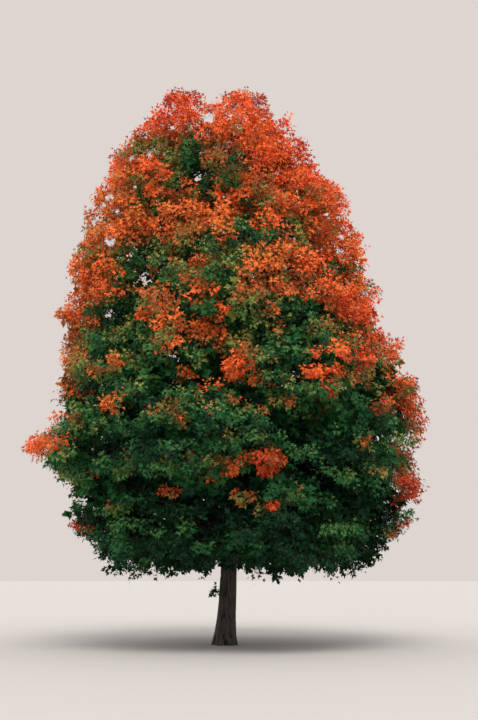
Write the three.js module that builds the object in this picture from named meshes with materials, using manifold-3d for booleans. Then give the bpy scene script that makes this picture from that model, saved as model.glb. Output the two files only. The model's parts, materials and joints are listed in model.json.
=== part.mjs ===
// A red maple in early autumn colour, grown in the open: one straight trunk with a root flare, a second
// leader that forks off half way up, boughs that rise to the foliage, and an egg-shaped crown made of
// tiers of foliage masses round a leafless middle. Millimetres, +Z up, -Y towards the viewer, +X right.
// The origin is the centre of the flat cut under the trunk, at ground level.
import * as THREE from "three";
import { mergeVertices } from "three/addons/utils/BufferGeometryUtils.js";
import Module from "manifold-3d";

const wasm = await Module();
wasm.setup();

// Driving sizes
const M = 1000; // one metre
const GAP = 0.3; // left between solids that touch
const DEG = Math.PI / 180;

const TRUNK_TIP_HEIGHT = 12.2 * M; // inside the right top mass, which hides the last of it
const TRUNK_BREAST_RADIUS = 0.2 * M; // a trunk 0.40 m thick at breast height
const TRUNK_TIP_RADIUS = 0.035 * M;
const FLARE_SPREAD = 0.1 * M; // how far the root flare stands out at the ground
const FLARE_HEIGHT = 0.34 * M; // the flare falls to 1/e of its spread at this height
const FLARE_LOBES = 5; // buttresses of the main roots
const TRUNK_SWAY = 0.07 * M; // sideways wander of the trunk's middle
const TRUNK_LEAN = 0.2 * M; // how far to the right of its foot the trunk ends

const LEADER_FORK_HEIGHT = 5.6 * M;
const LEADER_BASE_RADIUS = 0.105 * M;
const LEADER_CLEAR = 0.7 * M; // its lowest bough leaves it this far above the fork
const LEADER_SIDE = 0.8; // a bough is on the leader's side if it goes left by this share of its way forwards or back
const BOUGH_TIP_SHARE = 0.5; // a bough's tip radius as a share of its base radius
const BOUGH_LIFT = 0.42; // how much of a bough's rise is done early on
const BOUGH_ARCH = 0.12 * M; // height of its bend over an even climb
const BOUGH_SEAM_SHARE = 0.36; // a bough aims this far from the middle of one mass to that of the next
const BOUGH_STAGGER = 0.4 * M; // spread of the heights at which a tier's boughs leave the trunk

const MASS_OVERLAP = 1.1; // neighbours in a tier are this much wider than their share of the ring
const MASS_UNEVENNESS = 0.15; // lumps and hollows, as a share of a mass's radius
const MASS_FULLNESS = 2.7; // 2 is an ellipsoid, more fills out its corners
const MASS_SPREAD = 0.14; // how much like masses differ in size
const MASS_WANDER = 7; // how far a mass may stand from its even place in the ring, in degrees
const MASS_DETAIL = 3; // subdivision of the octahedron under each mass
const CUT_REACH = 30 * M; // a block larger than the tree, for cutting along a plane

// The crown from the grass up, one ring of masses to a tier. left and right give where the tier's
// masses show in outline: their height and how far out they reach from the trunk's axis. turn is the
// azimuth of the first mass in degrees, counted from +X towards +Y. tilt leans the masses inwards.
const TIERS = [
  {
    name: "skirt",
    count: 5,
    turn: -54,
    left: { height: 2.6 * M, reach: 3.6 * M },
    right: { height: 2.6 * M, reach: 4.25 * M },
    halfHeight: 1.08 * M,
    halfDepth: 1.2 * M,
    tilt: 0,
    fromTrunk: 2.2 * M,
    boughRadius: 0.07 * M,
  },
  {
    name: "low",
    count: 7,
    turn: 12,
    left: { height: 4.4 * M, reach: 4.62 * M },
    right: { height: 4.1 * M, reach: 4.6 * M },
    halfHeight: 0.98 * M,
    halfDepth: 1.35 * M,
    tilt: 6,
    fromTrunk: 3.15 * M,
    boughRadius: 0.085 * M,
  },
  {
    name: "broad",
    count: 6,
    turn: -3,
    left: { height: 5.9 * M, reach: 4.0 * M },
    right: { height: 5.5 * M, reach: 4.68 * M },
    halfHeight: 0.98 * M,
    halfDepth: 1.3 * M,
    tilt: 8,
    fromTrunk: 4.3 * M,
    boughRadius: 0.08 * M,
  },
  {
    name: "middle",
    count: 6,
    turn: 24,
    left: { height: 7.25 * M, reach: 4.08 * M },
    right: { height: 6.9 * M, reach: 4.18 * M },
    halfHeight: 0.94 * M,
    halfDepth: 1.25 * M,
    tilt: 10,
    fromTrunk: 5.5 * M,
    boughRadius: 0.07 * M,
  },
  {
    name: "shoulder",
    count: 5,
    turn: -6,
    left: { height: 8.45 * M, reach: 3.68 * M },
    right: { height: 8.15 * M, reach: 3.66 * M },
    halfHeight: 0.94 * M,
    halfDepth: 1.2 * M,
    tilt: 14,
    fromTrunk: 6.9 * M,
    boughRadius: 0.06 * M,
  },
  {
    name: "upper",
    count: 4,
    turn: 34,
    left: { height: 9.7 * M, reach: 3.32 * M },
    right: { height: 9.45 * M, reach: 3.12 * M },
    halfHeight: 0.9 * M,
    halfDepth: 1.15 * M,
    tilt: 18,
    fromTrunk: 8.3 * M,
    boughRadius: 0.052 * M,
  },
  {
    name: "high",
    count: 4,
    turn: -8,
    left: { height: 10.95 * M, reach: 2.75 * M },
    right: { height: 10.75 * M, reach: 2.42 * M },
    halfHeight: 0.84 * M,
    halfDepth: 1.0 * M,
    tilt: 30,
    fromTrunk: 9.6 * M,
    boughRadius: 0.045 * M,
  },
];

// The two lobes at the top, either side of a notch.
const TOP_LOBES = [
  { name: "top_left", at: [-1.0 * M, 0.05 * M, 12.1 * M], radii: [0.82 * M, 0.95 * M, 1.06 * M] },
  { name: "top_right", at: [0.5 * M, -0.05 * M, 12.08 * M], radii: [0.8 * M, 0.95 * M, 1.06 * M] },
];

// A number from 0 to 1 that depends only on the seed.
function chance(seed) {
  const wave = Math.sin(seed * 127.1 + 11.7) * 43758.5453;
  return wave - Math.floor(wave);
}

function mix(a, b, share) {
  return a + (b - a) * share;
}

// Solids: closed three.js geometry to and from manifold-3d, for cutting only
function solidOf(geometry) {
  const bare = new THREE.BufferGeometry();
  const source = geometry.index ? geometry.toNonIndexed() : geometry;
  bare.setAttribute("position", source.getAttribute("position"));
  const merged = mergeVertices(bare, 1e-3);
  return new wasm.Manifold(
    new wasm.Mesh({
      numProp: 3,
      vertProperties: merged.attributes.position.array,
      triVerts: new Uint32Array(merged.index.array),
    }),
  );
}

function geometryOf(solid) {
  const mesh = solid.getMesh();
  const geometry = new THREE.BufferGeometry();
  geometry.setAttribute("position", new THREE.BufferAttribute(mesh.vertProperties, mesh.numProp));
  geometry.setIndex(new THREE.BufferAttribute(mesh.triVerts, 1));
  geometry.computeVertexNormals();
  return geometry;
}

// The part of a solid on the side of a plane that its normal points away from.
function keepBehind(solid, normal, point) {
  const block = new THREE.BoxGeometry(CUT_REACH, CUT_REACH, CUT_REACH);
  block.translate(0, 0, CUT_REACH / 2);
  const turn = new THREE.Quaternion().setFromUnitVectors(new THREE.Vector3(0, 0, 1), normal);
  block.applyQuaternion(turn);
  block.translate(point.x, point.y, point.z);
  return solid.subtract(solidOf(block));
}

// Limbs: a closed cylinder bent along a curve, with its own radius at each point
function limbGeometry(curve, radiusAt, sides, rings) {
  const geometry = new THREE.CylinderGeometry(1, 1, 1, sides, rings);
  const places = geometry.getAttribute("position");
  const frames = curve.computeFrenetFrames(rings);
  for (let i = 0; i < places.count; i++) {
    const ring = Math.round((places.getY(i) + 0.5) * rings);
    const along = ring / rings;
    const x = places.getX(i);
    const z = places.getZ(i);
    const radius = radiusAt(along, Math.atan2(z, x));
    const point = curve
      .getPoint(along)
      .addScaledVector(frames.normals[ring], x * radius)
      .addScaledVector(frames.binormals[ring], z * radius);
    places.setXYZ(i, point.x, point.y, point.z);
  }
  return geometry;
}

// The solid of a limb geometry, turned right way out if the curve's frame is left-handed.
function limbSolid(curve, radiusAt, sides, rings) {
  const geometry = limbGeometry(curve, radiusAt, sides, rings);
  const solid = solidOf(geometry);
  return solid.volume() > 0 ? solid : solidOf(reversed(geometry));
}

function reversed(geometry) {
  const turned = geometry.clone();
  const index = turned.getIndex();
  for (let i = 0; i < index.count; i += 3) {
    const first = index.getX(i);
    index.setX(i, index.getX(i + 2));
    index.setX(i + 2, first);
  }
  return turned;
}

// Trunk: a round taper from the flat cut up, with a slow S-bend and the buttresses of the flare
const trunkLine = (height) =>
  new THREE.Vector3(
    TRUNK_SWAY * Math.sin((height / TRUNK_TIP_HEIGHT) * 2.2 * Math.PI) + (TRUNK_LEAN * height) / TRUNK_TIP_HEIGHT,
    TRUNK_SWAY * 0.6 * (1 - Math.cos((height / TRUNK_TIP_HEIGHT) * 3 * Math.PI)),
    height,
  );

function trunkRadius(height) {
  const share = height / TRUNK_TIP_HEIGHT;
  return mix(TRUNK_BREAST_RADIUS * 1.06, TRUNK_TIP_RADIUS, Math.pow(share, 0.88));
}

function trunkSolid(grown) {
  const sides = 15;
  const rings = 14;
  const geometry = new THREE.CylinderGeometry(1, 1, 1, sides, rings);
  const places = geometry.getAttribute("position");
  for (let i = 0; i < places.count; i++) {
    const share = places.getY(i) + 0.5;
    const height = TRUNK_TIP_HEIGHT * Math.pow(share, 1.5); // rings close together in the flare
    const x = places.getX(i);
    const z = -places.getZ(i);
    const angle = Math.atan2(z, x);
    const lobes = 0.62 + 0.38 * Math.cos(FLARE_LOBES * angle + 0.9);
    const flare = FLARE_SPREAD * Math.exp(-height / FLARE_HEIGHT) * lobes;
    const radius = trunkRadius(height) + flare + grown;
    const axis = trunkLine(height);
    places.setXYZ(i, axis.x + x * radius, axis.y + z * radius, axis.z);
  }
  const solid = solidOf(geometry);
  return solid.volume() > 0 ? solid : solidOf(reversed(geometry));
}

// Foliage masses: an uneven, flattened ball with full corners, its top leaning towards the trunk
function massPlan(name, centre, radii, azimuth, tilt, seed) {
  const turn = new THREE.Quaternion()
    .setFromAxisAngle(new THREE.Vector3(0, 0, 1), azimuth)
    .multiply(new THREE.Quaternion().setFromAxisAngle(new THREE.Vector3(0, 1, 0), tilt));
  return { name, centre: new THREE.Vector3(...centre), radii, turn, seed };
}

function tierPlans() {
  const plans = [];
  TIERS.forEach((tier, row) => {
    for (let k = 0; k < tier.count; k++) {
      const seed = row * 17 + k * 3 + 1;
      const azimuth = (tier.turn + (360 * k) / tier.count + MASS_WANDER * (2 * chance(seed + 0.5) - 1)) * DEG;
      const rightness = (1 + Math.cos(azimuth)) / 2;
      const reach = mix(tier.left.reach, tier.right.reach, rightness);
      const height = mix(tier.left.height, tier.right.height, rightness) + 0.24 * M * (chance(seed) - 0.5);
      const out = reach - tier.halfDepth * 0.97;
      const across = (MASS_OVERLAP * Math.PI * out * (1 + MASS_SPREAD * (chance(seed + 0.7) - 0.5))) / tier.count;
      const high = tier.halfHeight * (1 + MASS_SPREAD * (chance(seed + 0.9) - 0.5));
      plans.push({
        ...massPlan(
          `${tier.name}_foliage_${k + 1}`,
          [out * Math.cos(azimuth), out * Math.sin(azimuth), height],
          [tier.halfDepth, across, high],
          azimuth,
          tier.tilt * DEG,
          seed,
        ),
        tier,
        azimuth,
      });
    }
  });
  return plans;
}

function lobePlans() {
  return TOP_LOBES.map((lobe, k) => massPlan(`${lobe.name}_foliage`, lobe.at, lobe.radii, 0, 0, 301 + 7 * k));
}

// Lumps over a unit direction: three crossed waves with seeded phases, from about -1 to 1.
function lumps(direction, seed) {
  const phase = (n) => 2 * Math.PI * chance(seed * 5 + n);
  const broad = Math.sin(2.6 * direction.x + phase(1)) * Math.cos(2.9 * direction.y + phase(2));
  const middle = Math.sin(4.7 * direction.y + phase(3)) * Math.cos(4.1 * direction.z + phase(4));
  const fine = Math.sin(6.9 * direction.z + phase(5)) * Math.cos(7.3 * direction.x + phase(6));
  return 0.5 * broad + 0.32 * middle + 0.18 * fine;
}

function massBall(plan, grown) {
  const geometry = new THREE.OctahedronGeometry(1, MASS_DETAIL);
  geometry.rotateX(0.7 + plan.seed).rotateZ(0.5 + 2 * plan.seed); // no vertex on the long axis
  const places = geometry.getAttribute("position");
  for (let i = 0; i < places.count; i++) {
    const direction = new THREE.Vector3().fromBufferAttribute(places, i).normalize();
    const corner = [direction.x, direction.y, direction.z].reduce(
      (sum, c) => sum + Math.pow(Math.abs(c), MASS_FULLNESS),
      0,
    );
    const swell = Math.pow(corner, -1 / MASS_FULLNESS) * (1 + MASS_UNEVENNESS * lumps(direction, plan.seed));
    const place = new THREE.Vector3(
      direction.x * (plan.radii[0] * swell + grown),
      direction.y * (plan.radii[1] * swell + grown),
      direction.z * (plan.radii[2] * swell + grown),
    );
    place.applyQuaternion(plan.turn).add(plan.centre);
    places.setXYZ(i, place.x, place.y, place.z);
  }
  return solidOf(geometry);
}

// How far a mass's plain ellipsoid reaches from its centre along a world direction.
function radiusTowards(plan, direction) {
  const own = direction.clone().applyQuaternion(plan.turn.clone().invert());
  const [a, b, c] = plan.radii;
  return 1 / Math.hypot(own.x / a, own.y / b, own.z / c);
}

// A mass with the shares of its neighbours cut away along the planes between them.
function massSolid(plan, others, grown) {
  let solid = massBall(plan, grown);
  for (const other of others) {
    if (other === plan) continue;
    const way = other.centre.clone().sub(plan.centre);
    const distance = way.length();
    way.normalize();
    const mine = radiusTowards(plan, way);
    const theirs = radiusTowards(other, way.clone().negate());
    const widest = Math.max(...plan.radii) + Math.max(...other.radii);
    if (distance > widest * (1 + MASS_UNEVENNESS)) continue;
    const share = (distance * mine) / (mine + theirs);
    const point = plan.centre.clone().addScaledVector(way, share - GAP / 2 + grown);
    solid = keepBehind(solid, way, point);
  }
  return solid;
}

// Boughs: from a point on the trunk or the leader, rising first and then bending out to the target
function boughCurve(start, target) {
  const rise = target.z - start.z;
  const bend = new THREE.Vector3(
    mix(start.x, target.x, 0.5),
    mix(start.y, target.y, 0.5),
    start.z + (rise * (1 + BOUGH_LIFT)) / 2 + BOUGH_ARCH,
  );
  return new THREE.QuadraticBezierCurve3(start, bend, target);
}

function boughSolid(curve, baseRadius, grown) {
  const radiusAt = (along) => baseRadius * mix(1, BOUGH_TIP_SHARE, along) + grown;
  return limbSolid(curve, radiusAt, 6, 4);
}

// The leader that forks off to the left top lobe
function leaderCurve() {
  const start = trunkLine(LEADER_FORK_HEIGHT);
  const target = new THREE.Vector3(...TOP_LOBES[0].at);
  return new THREE.CatmullRomCurve3([
    start,
    new THREE.Vector3(start.x - 0.3 * M, 0.02 * M, 6.6 * M),
    new THREE.Vector3(-0.62 * M, 0.08 * M, 8.6 * M),
    new THREE.Vector3(-0.82 * M, 0.1 * M, 10.6 * M),
    target,
  ]);
}

// The point of the leader's axis nearest to a height.
function leaderLine(height) {
  const curve = leaderCurve();
  const steps = 60;
  const points = Array.from({ length: steps + 1 }, (_, k) => curve.getPoint(k / steps));
  return points.reduce((a, b) => (Math.abs(b.z - height) < Math.abs(a.z - height) ? b : a));
}

function leaderSolid(grown) {
  const radiusAt = (along) => mix(LEADER_BASE_RADIUS, TRUNK_TIP_RADIUS, along) + grown;
  return limbSolid(leaderCurve(), radiusAt, 7, 8);
}

// The largest piece of a solid: a bough that is cut by its mass leaves its tip on the far side.
function largestPiece(solid) {
  return solid.decompose().reduce((a, b) => (b.volume() > a.volume() ? b : a));
}

// The whole tree: trunk and leader first, masses cut round them, then boughs cut where they meet both
const bark = new THREE.MeshStandardMaterial({ color: 0x4a423d, roughness: 0.95, metalness: 0 });
const leafColours = {
  orange: new THREE.MeshStandardMaterial({ color: 0xd9602e, roughness: 0.7, metalness: 0 }),
  turning: new THREE.MeshStandardMaterial({ color: 0x9a6a3a, roughness: 0.7, metalness: 0 }),
  green: new THREE.MeshStandardMaterial({ color: 0x3c5c36, roughness: 0.7, metalness: 0 }),
};
const TIER_COLOURS = {
  skirt: "green",
  low: "green",
  broad: "turning",
  middle: "turning",
  shoulder: "turning",
  upper: "orange",
  high: "orange",
};

const tree = new THREE.Group();

function addNode(name, solid, material) {
  const mesh = new THREE.Mesh(geometryOf(solid), material);
  mesh.name = name;
  tree.add(mesh);
}

const tiers = tierPlans();
const lobes = lobePlans();
const masses = [...tiers, ...lobes];
const [leftLobe, rightLobe] = lobes;

const grownTrunk = trunkSolid(GAP);
const grownLeader = leaderSolid(GAP);
const grownMass = new Map(masses.map((plan) => [plan, massSolid(plan, masses, GAP)]));

addNode("trunk", trunkSolid(0).subtract(grownMass.get(rightLobe)), bark);
addNode("left_leader", leaderSolid(0).subtract(grownTrunk).subtract(grownMass.get(leftLobe)), bark);

for (const plan of masses) {
  let solid = massSolid(plan, masses, 0);
  if (plan !== rightLobe) solid = solid.subtract(grownTrunk);
  if (plan !== leftLobe) solid = solid.subtract(grownLeader);
  const colour = plan.tier ? TIER_COLOURS[plan.tier.name] : "orange";
  addNode(plan.name, solid, leafColours[colour]);
}

// Each tier's boughs carry its masses two by two, and end in the first of a pair, near the seam with the
// second. In a tier with an odd count the last bough has three, and ends in the middle one.
function boughGroups(ring) {
  const count = Math.floor(ring.length / 2);
  return Array.from({ length: count }, (_, k) => ring.slice(2 * k, k === count - 1 ? ring.length : 2 * k + 2));
}

// A bough leaves the trunk, or the leader if it is on that side and high enough.
function boughStart(tier, target, k) {
  const height = tier.fromTrunk + BOUGH_STAGGER * (chance(7 * k + tier.count) - 0.5);
  const onLeader = target.x < -LEADER_SIDE * Math.abs(target.y) && height > LEADER_FORK_HEIGHT - BOUGH_STAGGER;
  return onLeader ? leaderLine(Math.max(height, LEADER_FORK_HEIGHT + LEADER_CLEAR)) : trunkLine(height);
}

for (const tier of TIERS) {
  boughGroups(tiers.filter((plan) => plan.tier === tier)).forEach((group, k) => {
    const carried = group.length === 3 ? [group[1]] : group;
    const target = carried[0].centre.clone().lerp(carried[carried.length - 1].centre, BOUGH_SEAM_SHARE);
    const curve = boughCurve(boughStart(tier, target, k), target);
    let solid = boughSolid(curve, tier.boughRadius, 0).subtract(grownTrunk).subtract(grownLeader);
    group.forEach((plan) => {
      solid = solid.subtract(grownMass.get(plan));
    });
    addNode(`${tier.name}_bough_${k + 1}`, largestPiece(solid), bark);
  });
}

export default tree;
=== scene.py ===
import json
import math

import bpy
import numpy as np
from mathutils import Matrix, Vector
from mathutils.bvhtree import BVHTree

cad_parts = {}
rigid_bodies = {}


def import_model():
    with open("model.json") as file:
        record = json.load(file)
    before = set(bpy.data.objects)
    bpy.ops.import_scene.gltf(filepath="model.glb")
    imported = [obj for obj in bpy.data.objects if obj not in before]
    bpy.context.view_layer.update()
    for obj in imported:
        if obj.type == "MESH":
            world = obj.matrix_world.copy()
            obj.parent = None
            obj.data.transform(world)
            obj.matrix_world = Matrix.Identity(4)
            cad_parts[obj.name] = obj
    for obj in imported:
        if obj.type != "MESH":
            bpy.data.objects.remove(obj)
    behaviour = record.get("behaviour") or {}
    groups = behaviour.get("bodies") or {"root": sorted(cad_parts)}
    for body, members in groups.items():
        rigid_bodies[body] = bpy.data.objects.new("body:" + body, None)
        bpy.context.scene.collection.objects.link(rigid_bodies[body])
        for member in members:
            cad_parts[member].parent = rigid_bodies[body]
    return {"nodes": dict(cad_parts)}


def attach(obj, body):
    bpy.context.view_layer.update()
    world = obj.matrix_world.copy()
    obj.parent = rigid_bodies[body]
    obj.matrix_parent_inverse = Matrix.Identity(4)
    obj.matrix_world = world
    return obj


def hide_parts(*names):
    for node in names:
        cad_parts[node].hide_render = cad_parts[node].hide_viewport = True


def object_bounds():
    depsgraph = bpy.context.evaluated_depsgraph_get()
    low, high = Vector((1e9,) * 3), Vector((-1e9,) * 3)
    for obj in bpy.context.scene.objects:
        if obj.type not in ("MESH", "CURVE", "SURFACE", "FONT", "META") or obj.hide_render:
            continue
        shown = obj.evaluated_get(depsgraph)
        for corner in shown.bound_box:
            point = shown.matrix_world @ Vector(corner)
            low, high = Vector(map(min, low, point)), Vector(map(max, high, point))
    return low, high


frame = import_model()
cad_low, cad_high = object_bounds()


# The trunk is one stem that runs up through the crown to its right top, nearly straight. Its bark is
# dark grey-brown and has split into narrow upright plates, and it flares into five buttresses where
# the roots leave it. It is cut flat at the ground.
TRUNK_COLUMNS = 176
TRUNK_ROW_LOW = 0.013  # metres between rows of corners on the clear stem
TRUNK_ROW_HIGH = 0.045  # and up in the crown
CLEAR_STEM = 3.4  # height up to which the fine rows go
TRUNK_CUTS = 60  # cuts across the trunk that find its line
TRUNK_END = 0.0008  # share of its length between its foot and the first cut
CUT_ROUNDS = 3  # rounds of smoothing for the line that the cuts find
ROW_ROUNDS = 40  # for the line of the rows
RADIUS_ROUNDS = 20  # and for the rows' radii
TRUNK_SEED = 11
FLARE_SPREAD = 0.1  # how far the flare stands out at the ground
FLARE_HEIGHT = 0.34  # height at which it has fallen to 1/e
FLARE_LOBES = 5
FLARE_LOBE_SHARE = 0.38  # of the flare, added on the buttresses and taken off between them
FLARE_TURN = 0.9  # radians by which the first buttress is turned
PLATE_WIDTH = 0.032
PLATE_LENGTH = 0.42
PLATE_CROWN = 0.35  # how far a plate stands out, as a share of the furrows' depth
FEWEST_PLATES = 7  # side by side round a thin limb
FURROW_BENDS = [(0.55, 5, 0.5), (0.2, 11, 0.16)]  # radians sideways, waves round the limb, metres along it
FURROW_DEPTH = 0.0075
FURROW_SHARPNESS = 0.22
CRACK_DEPTH = 0.45  # as a share of the furrows' depth
CRACK_SHARPNESS = 0.1
CRACK_LENGTH = 0.6  # as a share of a plate's length
ROUGH_DEPTH = 0.16  # as a share of the furrows' depth
ROUGH_LENGTH = 0.03
LEAST_DEPTH, MOST_DEPTH = 0.1, 1.1  # of the furrows on thin and on thick limbs, as shares of the full depth
OLD_RADIUS = 0.2  # bark on a limb this thick is furrowed to the full depth


def node_corners(name):
    """The triangles of a CAD node as places, (triangles, 3 corners, xyz)."""
    mesh = frame["nodes"][name].data
    mesh.calc_loop_triangles()
    places = np.empty(len(mesh.vertices) * 3)
    mesh.vertices.foreach_get("co", places)
    numbers = np.empty(len(mesh.loop_triangles) * 3, np.int32)
    mesh.loop_triangles.foreach_get("vertices", numbers)
    return places.reshape(-1, 3)[numbers].reshape(-1, 3, 3)


def limb_line(name, count, margin, upright=False):
    """Centre line and radius of a CAD limb, found by cutting across it at even distances.

    With w the direction from its lowest corner to its highest, or straight up, a cut is the plane
    p . w = s. An edge from p to q meets it at p + t (q - p), t = (s - p . w) / (q . w - p . w). The
    middle of the box of those points is the centre, and their mean distance from it the radius. The
    first cut is a margin above the foot, and the last two margins below the tip."""
    triangles = node_corners(name)
    edges = np.concatenate([triangles[:, [0, 1]], triangles[:, [1, 2]], triangles[:, [2, 0]]])
    flat = triangles.reshape(-1, 3)
    way = np.array([0.0, 0.0, 1.0]) if upright else flat[flat[:, 2].argmax()] - flat[flat[:, 2].argmin()]
    way /= np.linalg.norm(way)
    height = edges @ way
    low, high = height.min(), height.max()
    cuts = low + (high - low) * np.linspace(margin, 1 - 2 * margin, count)
    centres, radii = [], []
    for cut in cuts:
        crossing = (height[:, 0] - cut) * (height[:, 1] - cut) < 0
        start, end = edges[crossing, 0], edges[crossing, 1]
        share = (cut - height[crossing, 0]) / (height[crossing, 1] - height[crossing, 0])
        points = start + share[:, None] * (end - start)
        centre = (points.min(0) + points.max(0)) / 2
        centres.append(centre)
        radii.append(np.linalg.norm(points - centre, axis=1).mean())
    return np.array(centres), np.array(radii)


def resample(line, radii, spacing):
    """A line again with a point about every `spacing` metres, and at least 3, by length along it."""
    steps = np.linalg.norm(np.diff(line, axis=0), axis=1)
    length = np.concatenate([[0], np.cumsum(steps)])
    even = np.linspace(0, length[-1], max(3, int(round(length[-1] / spacing)) + 1))
    points = np.stack([np.interp(even, length, line[:, k]) for k in range(3)], 1)
    return points, np.interp(even, length, radii), even


def smoothed(values, rounds):
    """Each inner value moved to (before + 2 own + after) / 4, several times over."""
    values = values.copy()
    for _ in range(rounds):
        values[1:-1] = (values[:-2] + 2 * values[1:-1] + values[2:]) / 4
    return values


def surface_noise(around, along, cells, spacing, seed):
    """Smooth random heights from -1 to 1 over a limb, which meet after one turn.

    Random numbers stand at the corners of a grid with `cells` columns round the limb and a row every
    `spacing` metres. Between them it runs by the fade f(t) = t t (3 - 2 t)."""
    u = around / (2 * np.pi) * cells
    v = (along - along.min()) / spacing
    table = np.random.default_rng(seed).uniform(-1, 1, (int(v.max()) + 3, cells))
    column, row = np.floor(u).astype(int), np.floor(v).astype(int)
    fu, fv = u - column, v - row
    fu, fv = fu * fu * (3 - 2 * fu), fv * fv * (3 - 2 * fv)
    left, right = column % cells, (column + 1) % cells
    low = table[row, left] * (1 - fu) + table[row, right] * fu
    high = table[row + 1, left] * (1 - fu) + table[row + 1, right] * fu
    return low * (1 - fv) + high * fv


def bark_relief(around, along, radius, seed):
    """How far the bark stands out, in metres, and how deep in a furrow each place is, from 0 to 1.

    n is noise stretched upright, on a limb's turn bent sideways by two slower noises. Furrows lie
    where n passes zero: f = exp(-(n / sharpness)^2), and finer cracks where a second noise does. The
    relief is depth (crown n n - max(f, crack) + roughness), and the depth grows with the radius."""
    cells = max(FEWEST_PLATES, int(round(2 * np.pi * radius.mean() / PLATE_WIDTH)))
    bend = 0
    for k, (sideways, waves, length) in enumerate(FURROW_BENDS):
        bend = bend + sideways * surface_noise(around, along, waves, length, seed + 1 + k)
    turned = (around + bend * FEWEST_PLATES / cells) % (2 * np.pi)
    plates = surface_noise(turned, along, cells, PLATE_LENGTH, seed + 3)
    splits = surface_noise(turned, along, cells * 2, CRACK_LENGTH * PLATE_LENGTH, seed + 4)
    rough = ROUGH_DEPTH * surface_noise(around, along, cells * 4, ROUGH_LENGTH, seed + 5)
    crack = CRACK_DEPTH * np.exp(-((splits / CRACK_SHARPNESS) ** 2))
    furrow = np.maximum(np.exp(-((plates / FURROW_SHARPNESS) ** 2)), crack)
    depth = FURROW_DEPTH * np.clip(radius / OLD_RADIUS, LEAST_DEPTH, MOST_DEPTH)
    return depth * (PLATE_CROWN * plates * plates - furrow + rough), furrow


def path_frames(line):
    """The unit direction w along a line, and two at right angles to it: u = w x r, v = w x u.

    r is the world axis most nearly at right angles to the line's mean direction."""
    along = np.gradient(line, axis=0)
    along /= np.linalg.norm(along, axis=1, keepdims=True)
    reference = np.eye(3)[np.abs(along.mean(0)).argmin()]
    u = np.cross(along, reference)
    u /= np.linalg.norm(u, axis=1, keepdims=True)
    return along, u, np.cross(along, u)


def new_mesh(name, corners, loops, sizes):
    """A mesh from its corners (n, 3), the corner numbers of all faces in a row, and each face's count."""
    mesh = bpy.data.meshes.new(name)
    mesh.vertices.add(len(corners))
    mesh.vertices.foreach_set("co", np.ascontiguousarray(corners, np.float32).ravel())
    mesh.loops.add(len(loops))
    mesh.loops.foreach_set("vertex_index", np.ascontiguousarray(loops, np.int32))
    mesh.polygons.add(len(sizes))
    mesh.polygons.foreach_set("loop_start", (np.cumsum(sizes) - sizes).astype(np.int32))
    mesh.update(calc_edges=True)
    return mesh


def tube_faces(count, rows, columns):
    """Corner numbers and face sizes of closed tubes: quads round each, and a fan of triangles at its ends.

    The corners are the grids of all tubes in a row, then one in the foot and one in the tip of each."""
    number = np.arange(count * rows * columns).reshape(count, rows, columns)
    after = np.roll(number, -1, 2)
    quads = np.stack([number[:, :-1], after[:, :-1], after[:, 1:], number[:, 1:]], -1).reshape(-1, 4)
    foot = number.size + np.repeat(np.arange(count)[:, None], columns, 1)
    ends = np.concatenate([
        np.stack([foot, after[:, 0], number[:, 0]], -1).reshape(-1, 3),
        np.stack([foot + count, number[:, -1], after[:, -1]], -1).reshape(-1, 3),
    ])
    sizes = np.concatenate([np.full(len(quads), 4), np.full(len(ends), 3)])
    return np.concatenate([quads.ravel(), ends.ravel()]), sizes


def place_piece(mesh, material, replaced, smooth):
    """Puts a mesh into the scene as a piece that stands in for the replaced nodes."""
    mesh.materials.append(material)
    mesh.polygons.foreach_set("use_smooth", np.full(len(mesh.polygons), smooth))
    piece = bpy.data.objects.new(mesh.name, mesh)
    bpy.context.scene.collection.objects.link(piece)
    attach(piece, "root")
    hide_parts(*replaced)


def bark_mesh(name, line, radii, along, columns, shape, seed):
    """A limb's bark: p + (r + shape + relief) (cos a u + sin a v) on a grid, with closed ends.

    p, r, u and v follow the limb's line, a goes round it, and shape(a, s) is what the limb adds to
    its own radius."""
    angles = np.linspace(0, 2 * np.pi, columns, endpoint=False)
    around, length = np.meshgrid(angles, along)
    radius = np.repeat(radii[:, None], columns, 1)
    relief, furrow = bark_relief(around, length, radius, seed)
    out = radius + shape(around, length) + relief
    _, u, v = path_frames(line)
    ring = np.cos(around)[..., None] * u[:, None] + np.sin(around)[..., None] * v[:, None]
    corners = line[:, None] + out[..., None] * ring
    corners = np.concatenate([corners.reshape(-1, 3), line[:1], line[-1:]])
    mesh = new_mesh(name, corners, *tube_faces(1, len(line), columns))
    depth = mesh.attributes.new("furrow", "FLOAT", "POINT")
    depth.data.foreach_set("value", np.concatenate([furrow.ravel(), [0, 0]]).astype(np.float32))
    return mesh


def linear(red, green, blue):
    """Red, green and blue from 0 to 255 as seen on a screen, as the linear colour of a shader.

    c = s / 12.92 up to 0.04045, and ((s + 0.055) / 1.055)^2.4 above."""
    share = np.array([red, green, blue]) / 255
    return (*np.where(share <= 0.04045, share / 12.92, ((share + 0.055) / 1.055) ** 2.4), 1.0)


def add_node(tree, kind, **settings):
    """A shader node with its properties set, and its inputs, whose name or number stands after in_.

    An input takes a value, or a link from another node's output."""
    node = tree.nodes.new(kind)
    for key, value in settings.items():
        label = key[3:].replace("_", " ")
        if not key.startswith("in_"):
            setattr(node, key, value)
        elif isinstance(value, bpy.types.NodeSocket):
            tree.links.new(value, node.inputs[int(label) if label.isdigit() else label])
        else:
            node.inputs[label].default_value = value
    return node


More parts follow.
